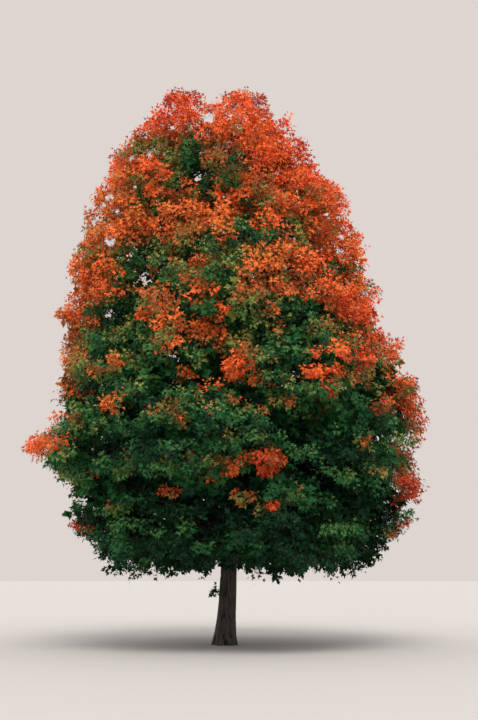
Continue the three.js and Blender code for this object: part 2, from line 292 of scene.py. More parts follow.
def weathered_bark_group():
    """Group: bark's colour, roughness and height from its furrow depth and two noises.

    Colour runs from the plate's to the furrow's by depth, with a paler lichen where the slow noise
    is high. Height is the fine noise, less the depth."""
    group = bpy.data.node_groups.new("Weathered bark", "ShaderNodeTree")
    sockets = [
        ("INPUT", "NodeSocketColor", ["Plate colour", "Furrow colour", "Lichen colour"]),
        ("INPUT", "NodeSocketFloat", ["Furrow", "Scale", "Lichen"]),
        ("OUTPUT", "NodeSocketColor", ["Colour"]),
        ("OUTPUT", "NodeSocketFloat", ["Roughness", "Height"]),
    ]
    for way, kind, labels in sockets:
        for label in labels:
            group.interface.new_socket(label, in_out=way, socket_type=kind)
    given = add_node(group, "NodeGroupInput").outputs
    place = add_node(group, "ShaderNodeTexCoord").outputs["Object"]
    stretched = add_node(group, "ShaderNodeMapping", in_Scale=(1, 1, 0.25), in_Vector=place)
    fine = add_node(
        group, "ShaderNodeTexNoise", in_Detail=6, in_Roughness=0.65,
        in_Vector=stretched.outputs["Vector"], in_Scale=given["Scale"],
    ).outputs["Fac"]
    slow = add_node(
        group, "ShaderNodeTexNoise", in_Scale=3.2, in_Detail=4, in_Roughness=0.6, in_Vector=place
    ).outputs["Fac"]
    spots = add_node(group, "ShaderNodeMapRange", in_From_Min=0.56, in_From_Max=0.7, in_Value=slow)
    amount = add_node(
        group, "ShaderNodeMath", operation="MULTIPLY", in_0=spots.outputs["Result"], in_1=given["Lichen"]
    )
    grain = add_node(
        group, "ShaderNodeMapRange", in_From_Min=0.3, in_From_Max=0.7, in_To_Max=0.75, in_Value=fine
    )
    depth = add_node(
        group, "ShaderNodeMath", operation="MAXIMUM", in_0=given["Furrow"], in_1=grain.outputs["Result"]
    ).outputs["Value"]
    plates = add_node(
        group, "ShaderNodeMix", data_type="RGBA", in_Factor=amount.outputs["Value"],
        in_A=given["Plate colour"], in_B=given["Lichen colour"],
    )
    bark = add_node(
        group, "ShaderNodeMix", data_type="RGBA", in_Factor=depth,
        in_A=plates.outputs["Result"], in_B=given["Furrow colour"],
    )
    dull = add_node(group, "ShaderNodeMapRange", in_To_Min=0.78, in_To_Max=0.98, in_Value=depth)
    height = add_node(group, "ShaderNodeMath", operation="SUBTRACT", in_0=fine, in_1=given["Furrow"])
    add_node(
        group, "NodeGroupOutput", in_Colour=bark.outputs["Result"],
        in_Roughness=dull.outputs["Result"], in_Height=height.outputs["Value"],
    )
    return group


weathered_bark = weathered_bark_group()


def bark_material(name, plate, furrow, lichen_colour, scale, lichen, bump):
    """Bark in its own colours from the weathered bark group, with its fine relief as a bump."""
    material = bpy.data.materials.new(name)
    material.use_nodes = True
    tree = material.node_tree
    shader = tree.nodes["Principled BSDF"]
    shader.inputs["Specular IOR Level"].default_value = 0.25
    depth = add_node(tree, "ShaderNodeAttribute", attribute_name="furrow").outputs["Fac"]
    bark = add_node(
        tree, "ShaderNodeGroup", node_tree=weathered_bark, in_Plate_colour=linear(*plate),
        in_Furrow_colour=linear(*furrow), in_Lichen_colour=linear(*lichen_colour),
        in_Scale=scale, in_Lichen=lichen, in_Furrow=depth,
    )
    relief = add_node(
        tree, "ShaderNodeBump", in_Strength=0.6, in_Distance=bump, in_Height=bark.outputs["Height"]
    )
    tree.links.new(bark.outputs["Colour"], shader.inputs["Base Color"])
    tree.links.new(bark.outputs["Roughness"], shader.inputs["Roughness"])
    tree.links.new(relief.outputs["Normal"], shader.inputs["Normal"])
    return material


def trunk_flare(around, height):
    """The flare's lobes round its mean: spread exp(-z / height) share cos(5 a + turn)."""
    fall = FLARE_SPREAD * np.exp(-height / FLARE_HEIGHT)
    return fall * FLARE_LOBE_SHARE * np.cos(FLARE_LOBES * around + FLARE_TURN)


def no_shape(around, along):
    """A limb that adds nothing to its radius."""
    return np.zeros_like(around)


trunk_line, trunk_radii = limb_line("trunk", TRUNK_CUTS, TRUNK_END, upright=True)
trunk_line[:, :2] = smoothed(trunk_line[:, :2], CUT_ROUNDS)
rows_low = np.arange(0, CLEAR_STEM, TRUNK_ROW_LOW)
rows_high = np.arange(CLEAR_STEM, trunk_line[-1, 2], TRUNK_ROW_HIGH)
trunk_heights = np.concatenate([rows_low, rows_high])
trunk_rows = np.stack([np.interp(trunk_heights, trunk_line[:, 2], trunk_line[:, k]) for k in range(3)], 1)
trunk_rows[:, 2] = trunk_heights
trunk_rows[:, :2] = smoothed(trunk_rows[:, :2], ROW_ROUNDS)
trunk_rows[0, :2] = trunk_rows[1, :2]
row_radii = smoothed(np.interp(trunk_heights, trunk_line[:, 2], trunk_radii), RADIUS_ROUNDS)

old_bark = bark_material(
    "old_bark", plate=(88, 80, 73), furrow=(30, 26, 23), lichen_colour=(110, 108, 97),
    scale=34, lichen=0.5, bump=0.006,
)
trunk_mesh = bark_mesh(
    "trunk_bark", trunk_rows, row_radii, trunk_heights, TRUNK_COLUMNS, trunk_flare, TRUNK_SEED
)
place_piece(trunk_mesh, old_bark, ["trunk"], smooth=True)


# The leader and the boughs leave the trunk with a swollen collar and taper to where they reach the
# foliage. Their bark is younger: smoother, greyer and less furrowed the thinner the limb is.
BOUGH_COLUMNS = 40
BOUGH_ROW = 0.03
BOUGH_CUTS = 16
BOUGH_END = 0.04  # share of a bough's length between its root and the first cut
BOUGH_ROUNDS = 12  # rounds of smoothing for its line and its radii
BOUGH_SEED, SEED_STEP = 31, 9  # of the first bough, and from one to the next
BOUGH_ROOT = 0.12  # how far a bough's line starts inside the limb that carries it
COLLAR_SWELL = 0.55  # of the bough's own radius
COLLAR_LENGTH = 0.13

bough_names = ["left_leader"] + sorted(name for name in frame["nodes"] if "_bough_" in name)
young_bark = bark_material(
    "young_bark", plate=(82, 75, 69), furrow=(36, 31, 28), lichen_colour=(100, 98, 88),
    scale=48, lichen=0.35, bump=0.003,
)
limbs = {"trunk": (trunk_line, trunk_radii)}
for order, name in enumerate(bough_names):
    line, radii = limb_line(name, BOUGH_CUTS, BOUGH_END)
    start_way = (line[1] - line[0]) / np.linalg.norm(line[1] - line[0])
    line = np.concatenate([line[:1] - BOUGH_ROOT * start_way, line])
    radii = np.concatenate([radii[:1], radii])
    line, radii, along = resample(line, radii, BOUGH_ROW)
    line = smoothed(line, BOUGH_ROUNDS)
    limbs[name] = (line, radii)
    swollen = smoothed(radii, BOUGH_ROUNDS) * (1 + COLLAR_SWELL * np.exp(-along / COLLAR_LENGTH))
    seed = BOUGH_SEED + SEED_STEP * order
    mesh = bark_mesh(name + "_bark", line, swollen, along, BOUGH_COLUMNS, no_shape, seed)
    place_piece(mesh, young_bark, [name], smooth=True)


# The foliage grows in bunches near the outside of each mass, where the light is, with two layers of
# shaded bunches behind them and more where the crown would be thin. A bunch is a branch end with its
# sprays of leafy shoots, and those that stand out in the tree's look have a place of their own.
BUNCH_SEED = 2886
SKIN_PLACES = 26000  # places on the skins of the masses, from which bunches are chosen
OUTER_SPACING = 0.44  # least distance between bunches of the lit layer
INNER_SPACING = 0.62  # and between those of the shaded layer
CORE_SPACING = 0.85  # and on the skin between those of the innermost layer
OUTER_DEPTH = 0.72  # how far under the mass's skin the foot of a bunch lies
INNER_DEPTH = 1.15
CORE_DEPTH = 1.9
CORE_SHARE = 0.5  # but no further than this share of the way to the crown's heart
FACE_SHARE, AWAY_SHARE = 0.7, 0.6  # how much a lit bunch points along its face and outward
AXIS_RISE = [(3, 0.05), (11, 0.5)]  # height, and how much the lit bunches there point up
INNER_SCATTER, CORE_SCATTER = 0.15, 0.2  # metres by which shaded bunches stand off their even places
CORE_LEAN = 0.6  # how far the innermost bunches lean off the outward direction
UNDERSIDE_DEPTH = 0.12  # bunches that face down lie deeper by this
SKIN_RELIEF = 0.24  # the lit layer swells and sinks by this
BARE_BELOW = -0.72  # swell below which it has no bunches, so that one looks into the shade
SWELL_SEED = 3
NOTED_TURNED = 0.6  # a noted bunch has turned if it has come further than this
NOTED_LIFT = 0.15  # how far the noted turned bunches stand out
NOTED_SINK = 0.05  # and how far the noted green ones lie back
SMALL_BUNCH = 0.25  # noted bunches below this radius grow between the others and take no room from them
SMALL_LIFT = 0.14  # so they stand out by this much more
BROUGHT_FORWARD = 0.33  # noted bunches turned this far come forward to the front of their neighbours
NEIGHBOURS = 0.6  # which are seen within this distance of them
FRONT_SHARE = 25  # and whose foremost quarter stands before them
FRONT_FIRST = 0.1  # metres off its seen place that a noted bunch may be for each metre nearer the viewer
BEHIND = 1.0  # places this far behind the trunk's axis are hidden from the viewer
FAR_OFF = 99.0  # added to what is not to be chosen
USUAL_RADIUS = 0.34  # a noted bunch of this radius is as large as the others
LEAST_SIZE, MOST_SIZE = 0.45, 1.1  # of a noted bunch, against the others
BUNCH_MIDDLE = 0.42  # metres from a bunch's foot to the middle of its leaves
LEAF_HANG = 0.07  # how far its leaves hang below that
HOLLOW_BACK = 1.1  # shaded bunches close each dark hollow this far behind the trunk's axis
RELIEF_SIZE = 1.5  # over about this length sideways
RELIEF_FLAT = 2.1  # upright it is this many times shorter at the foot, where boughs lie in layers
RELIEF_TALL = 0.5  # and at the top, where they rise in plumes
THICKNESS = [0.37, 0.55, 1.1]  # layers of leaf in a bunch of the lit, the shaded and the innermost kind
FILL_WAYS = 8  # the crown is looked through from this many sides
FILL_COUNT = 260  # more bunches grow where it is thinnest
FILL_TRIES = 2200  # at the best of so many places
FILL_DEPTHS = (0.8, 2.4)  # metres under the skin
FILL_SHARE = 0.6  # but no further than this share of the way to the crown's heart
FILL_RADIUS = 0.38  # of a bunch in the line of sight
HEART_LOW = 3.3  # the crown's outward directions start from the axis between these heights
HEART_HIGH = 10.2
LIT_FACING = -0.05  # least cosine between the face of a lit place and the outward direction
LOBE_FACING = -0.8  # and in the top lobes
SHADED_FACING = -0.4  # and over the shaded bunches
SHADED_TOP = 12.0  # height up to which there are shaded bunches
CLEAR_VIEW = 0.55  # a place on the skin is open to the light if nothing lies this near before it
LOBE_VIEW = 0.15  # or this near between the top lobes
OPEN_VIEW = 2.4  # and if nothing lies this near in the outward direction, below the top lobes
TOP_LOBES = 11.5  # height above which a bunch may also stand between the two lobes
EDGE_ROOM = 0.6  # how far inside the crown's edge the foot of the outermost bunch stays
EDGE_STEP = 0.3  # metres of height between the levels at which the crown is fitted to its edge
EDGE_BAND = 1.2  # steps up and down from a level that count for it
EDGE_RATIOS = (0.6, 1.3)  # least and most by which it is narrowed or stretched
EDGE_ROUNDS = 2  # rounds of smoothing from level to level
DRIFT_WAVES = 6
DRIFT_MOST = 2.6  # what the sum of so many waves seldom passes
CROWN_EDGE = [  # height, and the crown's reach to the left and the right as the viewer sees it
    (1.7, -2.85, 3.4), (2.2, -3.0, 3.6), (2.65, -3.65, 4.25), (3.5, -3.55, 4.6), (4.0, -4.15, 4.4),
    (4.45, -4.75, 4.42), (4.62, -4.6, 4.7), (5.0, -4.1, 4.75), (5.95, -3.9, 4.45), (6.5, -3.9, 4.1),
    (6.9, -3.85, 4.25), (7.25, -3.75, 3.8), (7.45, -4.15, 3.65), (7.7, -4.0, 3.55), (8.1, -3.75, 3.85),
    (8.4, -3.75, 3.3), (9.0, -3.75, 3.35), (9.4, -3.37, 3.33), (9.8, -3.45, 3.05), (10.6, -3.2, 2.85),
    (11.0, -2.85, 2.35), (11.6, -2.7, 2.05), (12.05, -2.35, 1.75), (12.45, -1.9, 1.6), (13.05, -1.5, 1.0),
    (13.25, -1.1, 0.7),
]
CROWN_TOP = [  # across, and the height up to which the viewer sees the crown there
    (-3.0, 11.6), (-1.9, 12.5), (-1.6, 12.85), (-1.45, 13.15), (-0.9, 13.25), (-0.6, 13.15),
    (-0.42, 12.85), (-0.25, 12.85), (-0.1, 13.1), (0.46, 13.3), (0.95, 13.1), (1.1, 12.4), (1.3, 12.4),
    (1.5, 12.6), (1.7, 12.5), (2.1, 11.85), (3.0, 11.0),
]
CROWN_FOOT = [  # across, and the height down to which the viewer sees the crown there
    (-3.1, 1.8), (-2.5, 1.48), (-1.6, 1.42), (-0.28, 1.46), (-0.2, 1.85), (0.17, 1.85), (0.27, 1.46),
    (0.9, 1.4), (2.6, 1.42), (3.3, 1.55), (3.8, 1.8),
]
NOTED_BUNCHES = [  # x, z and radius as the viewer sees them, and how far they have turned, from 0 to 1
    (-1.25, 12.82, 0.32, 1.0), (-0.8, 12.85, 0.28, 1.0), (-0.25, 12.72, 0.25, 1.0),
    (0.25, 12.85, 0.32, 1.0), (-1.1, 12.5, 0.3, 1.0), (-1.32, 12.98, 0.26, 1.0), (-1.6, 12.3, 0.28, 0.98),
    (0.5, 12.55, 0.3, 1.0), (0.75, 12.8, 0.3, 1.0), (1.4, 12.25, 0.25, 0.96), (-2.12, 12.1, 0.25, 0.94),
    (0.0, 11.8, 0.35, 0.76), (-1.6, 11.45, 0.38, 0.54), (-1.15, 11.3, 0.3, 0.42), (-0.8, 11.5, 0.3, 0.3),
    (-0.8, 11.1, 0.3, 0.26), (0.2, 11.2, 0.28, 0.26), (0.85, 11.4, 0.3, 0.95), (-0.3, 11.35, 0.25, 0.6),
    (0.1, 10.95, 0.28, 0.64), (-2.4, 11.3, 0.3, 0.62), (-2.15, 11.5, 0.25, 0.56),
    (-1.8, 11.1, 0.28, 0.92), (2.0, 11.5, 0.3, 0.94), (-1.3, 10.6, 0.26, 0.3), (-0.4, 10.5, 0.32, 0.26),
    (-0.9, 10.6, 0.22, 0.9), (-1.55, 9.6, 0.35, 0.84), (0.35, 10.3, 0.28, 0.92), (2.75, 10.4, 0.25, 0.92),
    (-0.65, 9.95, 0.3, 0.9), (-0.15, 9.9, 0.28, 0.9), (-1.25, 10.0, 0.28, 0.92), (-0.1, 9.55, 0.26, 0.86),
    (0.95, 9.8, 0.28, 0.96), (1.2, 10.05, 0.26, 0.92), (0.4, 9.45, 0.32, 0.2), (1.0, 9.35, 0.28, 0.26),
    (1.6, 9.75, 0.17, 0.3), (1.5, 10.2, 0.28, 0.92), (-0.95, 9.3, 0.25, 0.58), (-2.2, 9.9, 0.6, 0.88),
    (2.2, 9.35, 0.35, 0.95), (3.15, 9.4, 0.2, 0.82), (1.3, 9.05, 0.26, 0.92), (-3.4, 8.75, 0.45, 0.92),
    (-2.75, 8.6, 0.4, 0.9), (-1.8, 8.85, 0.42, 0.34), (-1.35, 8.5, 0.35, 0.44), (-0.75, 8.75, 0.2, 0.74),
    (-0.1, 8.75, 0.26, 0.5), (-0.35, 9.1, 0.25, 0.34), (-0.25, 8.35, 0.28, 0.36), (0.75, 8.8, 0.32, 0.97),
    (1.95, 8.75, 0.42, 0.95), (2.5, 8.65, 0.24, 0.3), (2.95, 8.85, 0.3, 0.9), (2.95, 9.2, 0.28, 0.88),
    (3.75, 8.15, 0.3, 0.92), (0.5, 8.2, 0.22, 0.85), (1.15, 8.1, 0.34, 0.8), (1.75, 8.0, 0.2, 0.76),
    (2.4, 8.1, 0.35, 0.92), (-0.5, 8.05, 0.28, 0.9), (-0.15, 7.6, 0.28, 0.9), (-1.0, 7.9, 0.24, 0.24),
    (1.7, 7.5, 0.45, 0.22), (1.1, 7.7, 0.24, 0.26), (0.9, 7.3, 0.35, 0.55), (-2.0, 7.5, 0.18, 0.8),
    (-1.4, 7.4, 0.22, 0.86), (-2.85, 8.1, 0.3, 0.88), (-3.2, 8.35, 0.3, 0.9), (-3.95, 7.5, 0.22, 0.86),
    (-3.35, 7.35, 0.2, 0.78), (-2.65, 7.6, 0.38, 0.26), (2.2, 7.4, 0.24, 0.55), (3.05, 7.5, 0.34, 0.9),
    (2.7, 7.8, 0.25, 0.88), (3.7, 7.3, 0.3, 0.9), (3.2, 6.75, 0.24, 0.84), (4.05, 6.75, 0.24, 0.88),
    (-2.05, 6.95, 0.42, 0.38), (-1.3, 6.85, 0.24, 0.94), (-0.65, 7.1, 0.24, 0.86),
    (-0.9, 6.1, 0.16, 0.84), (-0.45, 6.1, 0.16, 0.9), (-0.25, 7.05, 0.22, 0.8), (-0.85, 7.55, 0.25, 0.32),
    (-0.15, 6.65, 0.25, 0.64), (0.35, 6.95, 0.26, 0.48), (-1.0, 5.75, 0.28, 0.46),
    (-0.75, 6.5, 0.26, 0.46), (0.35, 6.4, 0.27, 1.0), (0.12, 6.05, 0.13, 0.8), (0.75, 5.95, 0.2, 0.74),
    (0.35, 5.65, 0.12, 0.78), (0.75, 5.25, 0.2, 0.62), (1.4, 5.35, 0.2, 0.52), (2.55, 6.6, 0.36, 1.0),
    (2.55, 6.25, 0.22, 1.0), (3.75, 6.5, 0.25, 0.9), (2.15, 6.2, 0.15, 0.88), (2.5, 5.75, 0.12, 0.84),
    (2.85, 5.45, 0.3, 0.3), (2.4, 5.15, 0.22, 0.66), (-3.7, 6.45, 0.26, 0.86), (-3.1, 6.2, 0.15, 0.8),
    (-2.65, 6.45, 0.2, 0.86), (-2.65, 5.58, 0.25, 1.0), (-3.55, 5.7, 0.18, 0.8), (-3.25, 5.3, 0.26, 0.42),
    (-2.7, 6.0, 0.2, 0.4), (-3.9, 5.2, 0.24, 0.86), (-4.05, 4.6, 0.34, 0.92), (-4.4, 4.3, 0.34, 0.94),
    (-4.22, 4.4, 0.26, 0.9), (-3.7, 4.15, 0.35, 0.4), (-1.45, 5.55, 0.14, 0.84), (-1.15, 5.3, 0.14, 0.72),
    (3.9, 5.6, 0.3, 0.94), (3.65, 5.45, 0.26, 0.9), (3.75, 5.0, 0.25, 0.3), (4.35, 5.75, 0.2, 0.66),
    (4.35, 5.15, 0.23, 0.92), (3.3, 4.6, 0.16, 0.66), (3.85, 4.5, 0.28, 0.42), (4.25, 4.4, 0.22, 0.88),
    (4.5, 4.65, 0.16, 0.7), (4.2, 3.62, 0.29, 0.94), (4.2, 3.25, 0.3, 0.96), (4.0, 2.65, 0.28, 0.94),
    (-4.45, 4.72, 0.2, 0.9), (-2.4, 3.8, 0.12, 0.62), (-3.35, 3.65, 0.42, 0.52), (-1.25, 3.5, 0.22, 0.93),
    (-3.42, 2.64, 0.22, 0.96), (-3.35, 3.05, 0.3, 0.32), (-2.2, 2.15, 0.45, 0.2), (0.1, 3.95, 0.2, 0.82),
    (-0.15, 3.7, 0.15, 0.8), (0.85, 4.12, 0.23, 1.0), (1.3, 4.15, 0.18, 0.96), (1.02, 3.78, 0.15, 0.98),
    (0.4, 3.45, 0.18, 0.8), (1.0, 3.15, 0.1, 0.92), (1.65, 3.5, 0.16, 0.74), (-2.0, 6.35, 0.38, 0.4),
    (-2.1, 5.7, 0.4, 0.4), (-2.5, 9.35, 0.42, 0.86), (-2.9, 6.95, 0.35, 0.36), (-1.75, 10.5, 0.25, 0.9),
    (0.15, 10.65, 0.25, 0.4), (0.2, 9.0, 0.25, 0.45), (3.3, 6.5, 0.22, 0.92), (-0.95, 12.6, 0.28, 1.0),
]
DARK_HOLLOWS = [  # x, z and radius where the viewer looks between the bunches into the shade
    (-0.15, 2.65, 0.5), (0.3, 3.0, 0.35), (-0.75, 3.35, 0.3), (2.2, 3.6, 0.25), (1.6, 4.7, 0.25),
    (1.75, 7.3, 0.3), (0.45, 9.45, 0.25), (-2.0, 2.6, 0.25), (1.1, 2.4, 0.3), (3.35, 5.5, 0.25),
]

rng = np.random.default_rng(BUNCH_SEED)
mass_names = sorted(name for name in frame["nodes"] if "_foliage" in name)
mass_triangles = [node_corners(name) for name in mass_names]
all_triangles = np.concatenate(mass_triangles)
triangle_mass = np.repeat(np.arange(len(mass_names)), [len(t) for t in mass_triangles])
skin = BVHTree.FromPolygons(
    all_triangles.reshape(-1, 3).tolist(), np.arange(len(all_triangles) * 3).reshape(-1, 3).tolist()
)
eye = np.array([0.31, -25.1, 1.6])  # where the viewer's eye is
edge_height, edge_left, edge_right = np.array(CROWN_EDGE).T


def unit(vectors):
    """Each vector divided by its length."""
    return vectors / (np.linalg.norm(vectors, axis=-1, keepdims=True) + 1e-12)


def read_off(table, at):
    """The second column of a table at values of its first, on straight lines from row to row."""
    return np.interp(at, *np.array(table).T)


def drift(points, wavelength, seed):
    """A smooth random field from about -1 to 1: the sum of sin(k . p + phase) over a few waves.

    Each k is 2 pi / wavelength long and has a random direction. The sum is divided by its range."""
    draw = np.random.default_rng(seed)
    ways = unit(draw.normal(0, 1, (DRIFT_WAVES, 3))) * 2 * np.pi / wavelength
    phases = draw.uniform(0, 2 * np.pi, DRIFT_WAVES)
    return np.sin(points @ ways.T + phases).sum(1) / DRIFT_MOST


def outward(points):
    """The unit direction from the crown's heart, the axis between two heights, to each point."""
    heart = np.zeros_like(points)
    heart[:, 2] = np.clip(points[:, 2], HEART_LOW, HEART_HIGH)
    return unit(points - heart)


def from_heart(points):
    """How far each point is from the crown's heart."""
    rise = points[:, 2] - np.clip(points[:, 2], HEART_LOW, HEART_HIGH)
    return np.sqrt(points[:, 0] ** 2 + points[:, 1] ** 2 + rise**2)


def seen_places(points):
    """Where the viewer sees each point on the upright plane through the trunk: x and z.

    The line from the eye e through p meets the plane y = 0 at e + (p - e) e_y / (e_y - p_y)."""
    share = eye[1] / (eye[1] - points[:, 1])
    return (eye + (points - eye) * share[:, None])[:, [0, 2]]


def gap_to(seen, x, z):
    """How far each seen place is from x and z, on the plane through the trunk."""
    return np.hypot(seen[:, 0] - x, seen[:, 1] - z)


def edge_at(heights):
    """The crown's edge to the left and to the right, as the viewer sees it at these heights."""
    return np.interp(heights, edge_height, edge_left), np.interp(heights, edge_height, edge_right)


def spread_out(points, spacing):
    """Which points to keep so that no two are nearer than the spacing, first come first kept."""
    kept = np.empty(0, int)
    for k, point in enumerate(points):
        if not len(kept) or np.linalg.norm(points[kept] - point, axis=1).min() >= spacing:
            kept = np.append(kept, k)
    return kept


def skin_places(count):
    """Random places on the skins of all masses: point, face direction and mass.

    A triangle is drawn by its area, and a place in it is a + s (b - a) + t (c - a), s + t <= 1."""
    a, b, c = all_triangles.transpose(1, 0, 2)
    cross = np.cross(b - a, c - a)
    area = np.linalg.norm(cross, axis=1) / 2
    drawn = rng.choice(len(area), count, p=area / area.sum())
    s, t = rng.random((2, count))
    outside = s + t > 1
    s[outside], t[outside] = 1 - s[outside], 1 - t[outside]
    points = a[drawn] + s[:, None] * (b - a)[drawn] + t[:, None] * (c - a)[drawn]
    return points, (cross / (2 * area[:, None] + 1e-12))[drawn], triangle_mass[drawn]


def is_free(points, ways, reach):
    """Whether nothing of the skin lies within reach of each point along its way, from 10 mm off it."""
    return np.array([
        skin.ray_cast(Vector(p + 0.01 * w), Vector(w), reach)[0] is None for p, w in zip(points, ways)
    ])


def fitted_to_edge(points, lit_points):
    """The points again, with the crown stretched or narrowed sideways to reach its edge.

    At each level the outermost lit point to a side is seen at x_m, and the edge less a margin is at
    x_e. All points on that side are moved to x x_e / x_m, with the ratio run smoothly between levels."""
    levels = np.arange(edge_height[0], edge_height[-1], EDGE_STEP)
    seen = seen_places(lit_points)
    near = np.abs(seen[:, 1] - levels[:, None]) < EDGE_BAND * EDGE_STEP
    moved = points.copy()
    own_level = seen_places(points)[:, 1]
    for sign, edge in zip((-1, 1), edge_at(levels)):
        furthest = np.where(near, sign * seen[:, 0], 0.01).max(1)
        wanted = sign * edge - EDGE_ROOM
        ratio = smoothed(np.clip(wanted / furthest, *EDGE_RATIOS), EDGE_ROUNDS)
        side = sign * points[:, 0] > 0
        moved[side, 0] *= np.interp(own_level[side], levels, ratio)
    return moved


points, facing, owner = skin_places(SKIN_PLACES)
away = outward(points)
turned_out = (facing * away).sum(1)
outermost = is_free(points, away, OPEN_VIEW)
lit = (turned_out > LIT_FACING) & outermost & is_free(points, facing, CLEAR_VIEW)
in_lobes = (points[:, 2] > TOP_LOBES) & (turned_out > LOBE_FACING)
lit |= in_lobes & is_free(points, facing, LOBE_VIEW)
shade_places = np.flatnonzero(outermost & (turned_out > SHADED_FACING) & (points[:, 2] < SHADED_TOP))
core = shade_places[spread_out(points[shade_places], CORE_SPACING)]
inner = shade_places[spread_out(points[shade_places], INNER_SPACING)]

# The noted bunches come first. Each starts from the lit place that is seen nearest to its own.
noted_x, noted_z, noted_radius, noted_turn = np.array(NOTED_BUNCHES).T
noted_count = len(NOTED_BUNCHES)
outer = np.flatnonzero(lit)
seen = seen_places(points[outer])
off_front = FRONT_FIRST * points[outer, 1] + FAR_OFF * (points[outer, 1] > BEHIND)
first = [np.argmin(gap_to(seen, x, z) + off_front) for x, z, _, _ in NOTED_BUNCHES]
outer = outer[np.concatenate([first, np.setdiff1d(np.arange(len(outer)), first)])]
room = points[outer].copy()
room[np.flatnonzero(noted_radius < SMALL_BUNCH)] += FAR_OFF
kept = spread_out(room, OUTER_SPACING)
outer = np.concatenate([outer[:noted_count], outer[kept[kept >= noted_count]]])

# The lit layer swells and sinks, and the noted bunches stand out from it or lie back. Heights are
# stretched for the swell at the foot and squeezed at the top: flat h - (flat - tall) h^2 / 2.
lift = np.zeros(len(outer))
seen = seen_places(points[outer])
for x, z, radius, value in NOTED_BUNCHES:
    inside = (gap_to(seen, x, z) < radius) & (points[outer, 1] < BEHIND)
    lift[inside] = NOTED_LIFT if value > NOTED_TURNED else -NOTED_SINK
lift[np.flatnonzero((noted_radius < SMALL_BUNCH) & (noted_turn > NOTED_TURNED))] += SMALL_LIFT
stretched = points[outer].copy()
climb = np.clip(stretched[:, 2] / cad_high[2], 0, 1)
stretched[:, 2] = cad_high[2] * (RELIEF_FLAT * climb - (RELIEF_FLAT - RELIEF_TALL) * climb**2 / 2)
swell = drift(stretched, RELIEF_SIZE, SWELL_SEED)
grown = (swell > BARE_BELOW) | (np.arange(len(outer)) < noted_count)
outer, swell, lift = outer[grown], swell[grown], lift[grown]

outer_axis = FACE_SHARE * facing[outer] + AWAY_SHARE * away[outer]
outer_axis[:, 2] += read_off(AXIS_RISE, points[outer, 2])
outer_axis = unit(outer_axis)
depth = OUTER_DEPTH - SKIN_RELIEF * swell + UNDERSIDE_DEPTH * np.maximum(0, -facing[outer, 2]) - lift
outer_foot = points[outer] - depth[:, None] * outer_axis
inner_axis = away[inner]
inner_foot = points[inner] - INNER_DEPTH * inner_axis + rng.normal(0, INNER_SCATTER, (len(inner), 3))
core_axis = unit(away[core] + rng.normal(0, CORE_LEAN, (len(core), 3)))
core_depth = np.minimum(CORE_DEPTH, CORE_SHARE * from_heart(points[core]))
core_foot = points[core] - core_depth[:, None] * away[core] + rng.normal(0, CORE_SCATTER, (len(core), 3))
bunch_axis = np.concatenate([outer_axis, inner_axis, core_axis])
bunch_foot = fitted_to_edge(np.concatenate([outer_foot, inner_foot, core_foot]), outer_foot)

# Each noted bunch then comes forward between its neighbours and goes to where it is seen. At the
# depth y a step across is (y - e_y) / -e_y times as long as it looks on the plane through the trunk.
foot_seen = seen_places(outer_foot)
for k in np.flatnonzero(noted_turn >= BROUGHT_FORWARD):
    near = gap_to(foot_seen, *foot_seen[k]) < NEIGHBOURS
    bunch_foot[k, 1] = min(bunch_foot[k, 1], np.percentile(outer_foot[near, 1], FRONT_SHARE))
noted_middle = bunch_foot[:noted_count] + BUNCH_MIDDLE * bunch_axis[:noted_count]
further = (noted_middle[:, 1] - eye[1]) / -eye[1]
off = np.stack([noted_x, noted_z + LEAF_HANG], 1) - seen_places(noted_middle)
bunch_foot[:noted_count, 0] += further * off[:, 0]
bunch_foot[:noted_count, 2] += further * off[:, 1]


def seen_round(places):
    """Where viewers who stand evenly round the tree see each place, (ways, places, x and z).

    The tree is turned by the angle a instead: x' = x cos a + y sin a, y' = y cos a - x sin a."""
    views = []
    for a in np.arange(FILL_WAYS) * 2 * np.pi / FILL_WAYS:
        x, y, z = places.T
        turned = np.stack([x * np.cos(a) + y * np.sin(a), y * np.cos(a) - x * np.sin(a), z], 1)
        views.append(seen_places(turned))
    return np.array(views)


def layers_between(places, bunches):
    """How much of each of the bunches lies in the line of sight to each place: exp(-(gap / radius)^2)."""
    gap = np.linalg.norm(places[:, None] - bunches[None], axis=-1)
    return np.exp(-((gap / FILL_RADIUS) ** 2))


tries = rng.choice(shade_places, FILL_TRIES)
sunk = np.minimum(rng.uniform(*FILL_DEPTHS, FILL_TRIES), FILL_SHARE * from_heart(points[tries]))
try_foot = fitted_to_edge(points[tries] - sunk[:, None] * away[tries], outer_foot)
try_seen = seen_round(try_foot)
thickness = np.repeat(THICKNESS, [len(outer), len(inner), len(core)])
bunch_seen = seen_round(bunch_foot + BUNCH_MIDDLE * bunch_axis)
cover = np.array([layers_between(a, b) @ thickness for a, b in zip(try_seen, bunch_seen)])
filled = []
for _ in range(FILL_COUNT):
    thinnest = int(np.argmin(cover.min(0)))
    filled.append(thinnest)
    cover += THICKNESS[2] * np.array([layers_between(a, a[[thinnest]])[:, 0] for a in try_seen])
hollow_foot = np.array([(x, HOLLOW_BACK, z) for x, z, _ in DARK_HOLLOWS])
hollow_near = [np.argmin(np.linalg.norm(points - place, axis=1)) for place in hollow_foot]
extra = np.concatenate([tries[filled], hollow_near])
bunch_foot = np.concatenate([bunch_foot, try_foot[filled], hollow_foot])
bunch_axis = np.concatenate([bunch_axis, unit(away[extra] + rng.normal(0, CORE_LEAN, (len(extra), 3)))])
bunch_inner = np.arange(len(bunch_foot)) >= len(outer)
bunch_swell = np.concatenate([swell, np.zeros(len(bunch_foot) - len(outer))])
bunch_mass = owner[np.concatenate([outer, inner, core, extra])]
bunch_size = np.ones(len(bunch_foot))
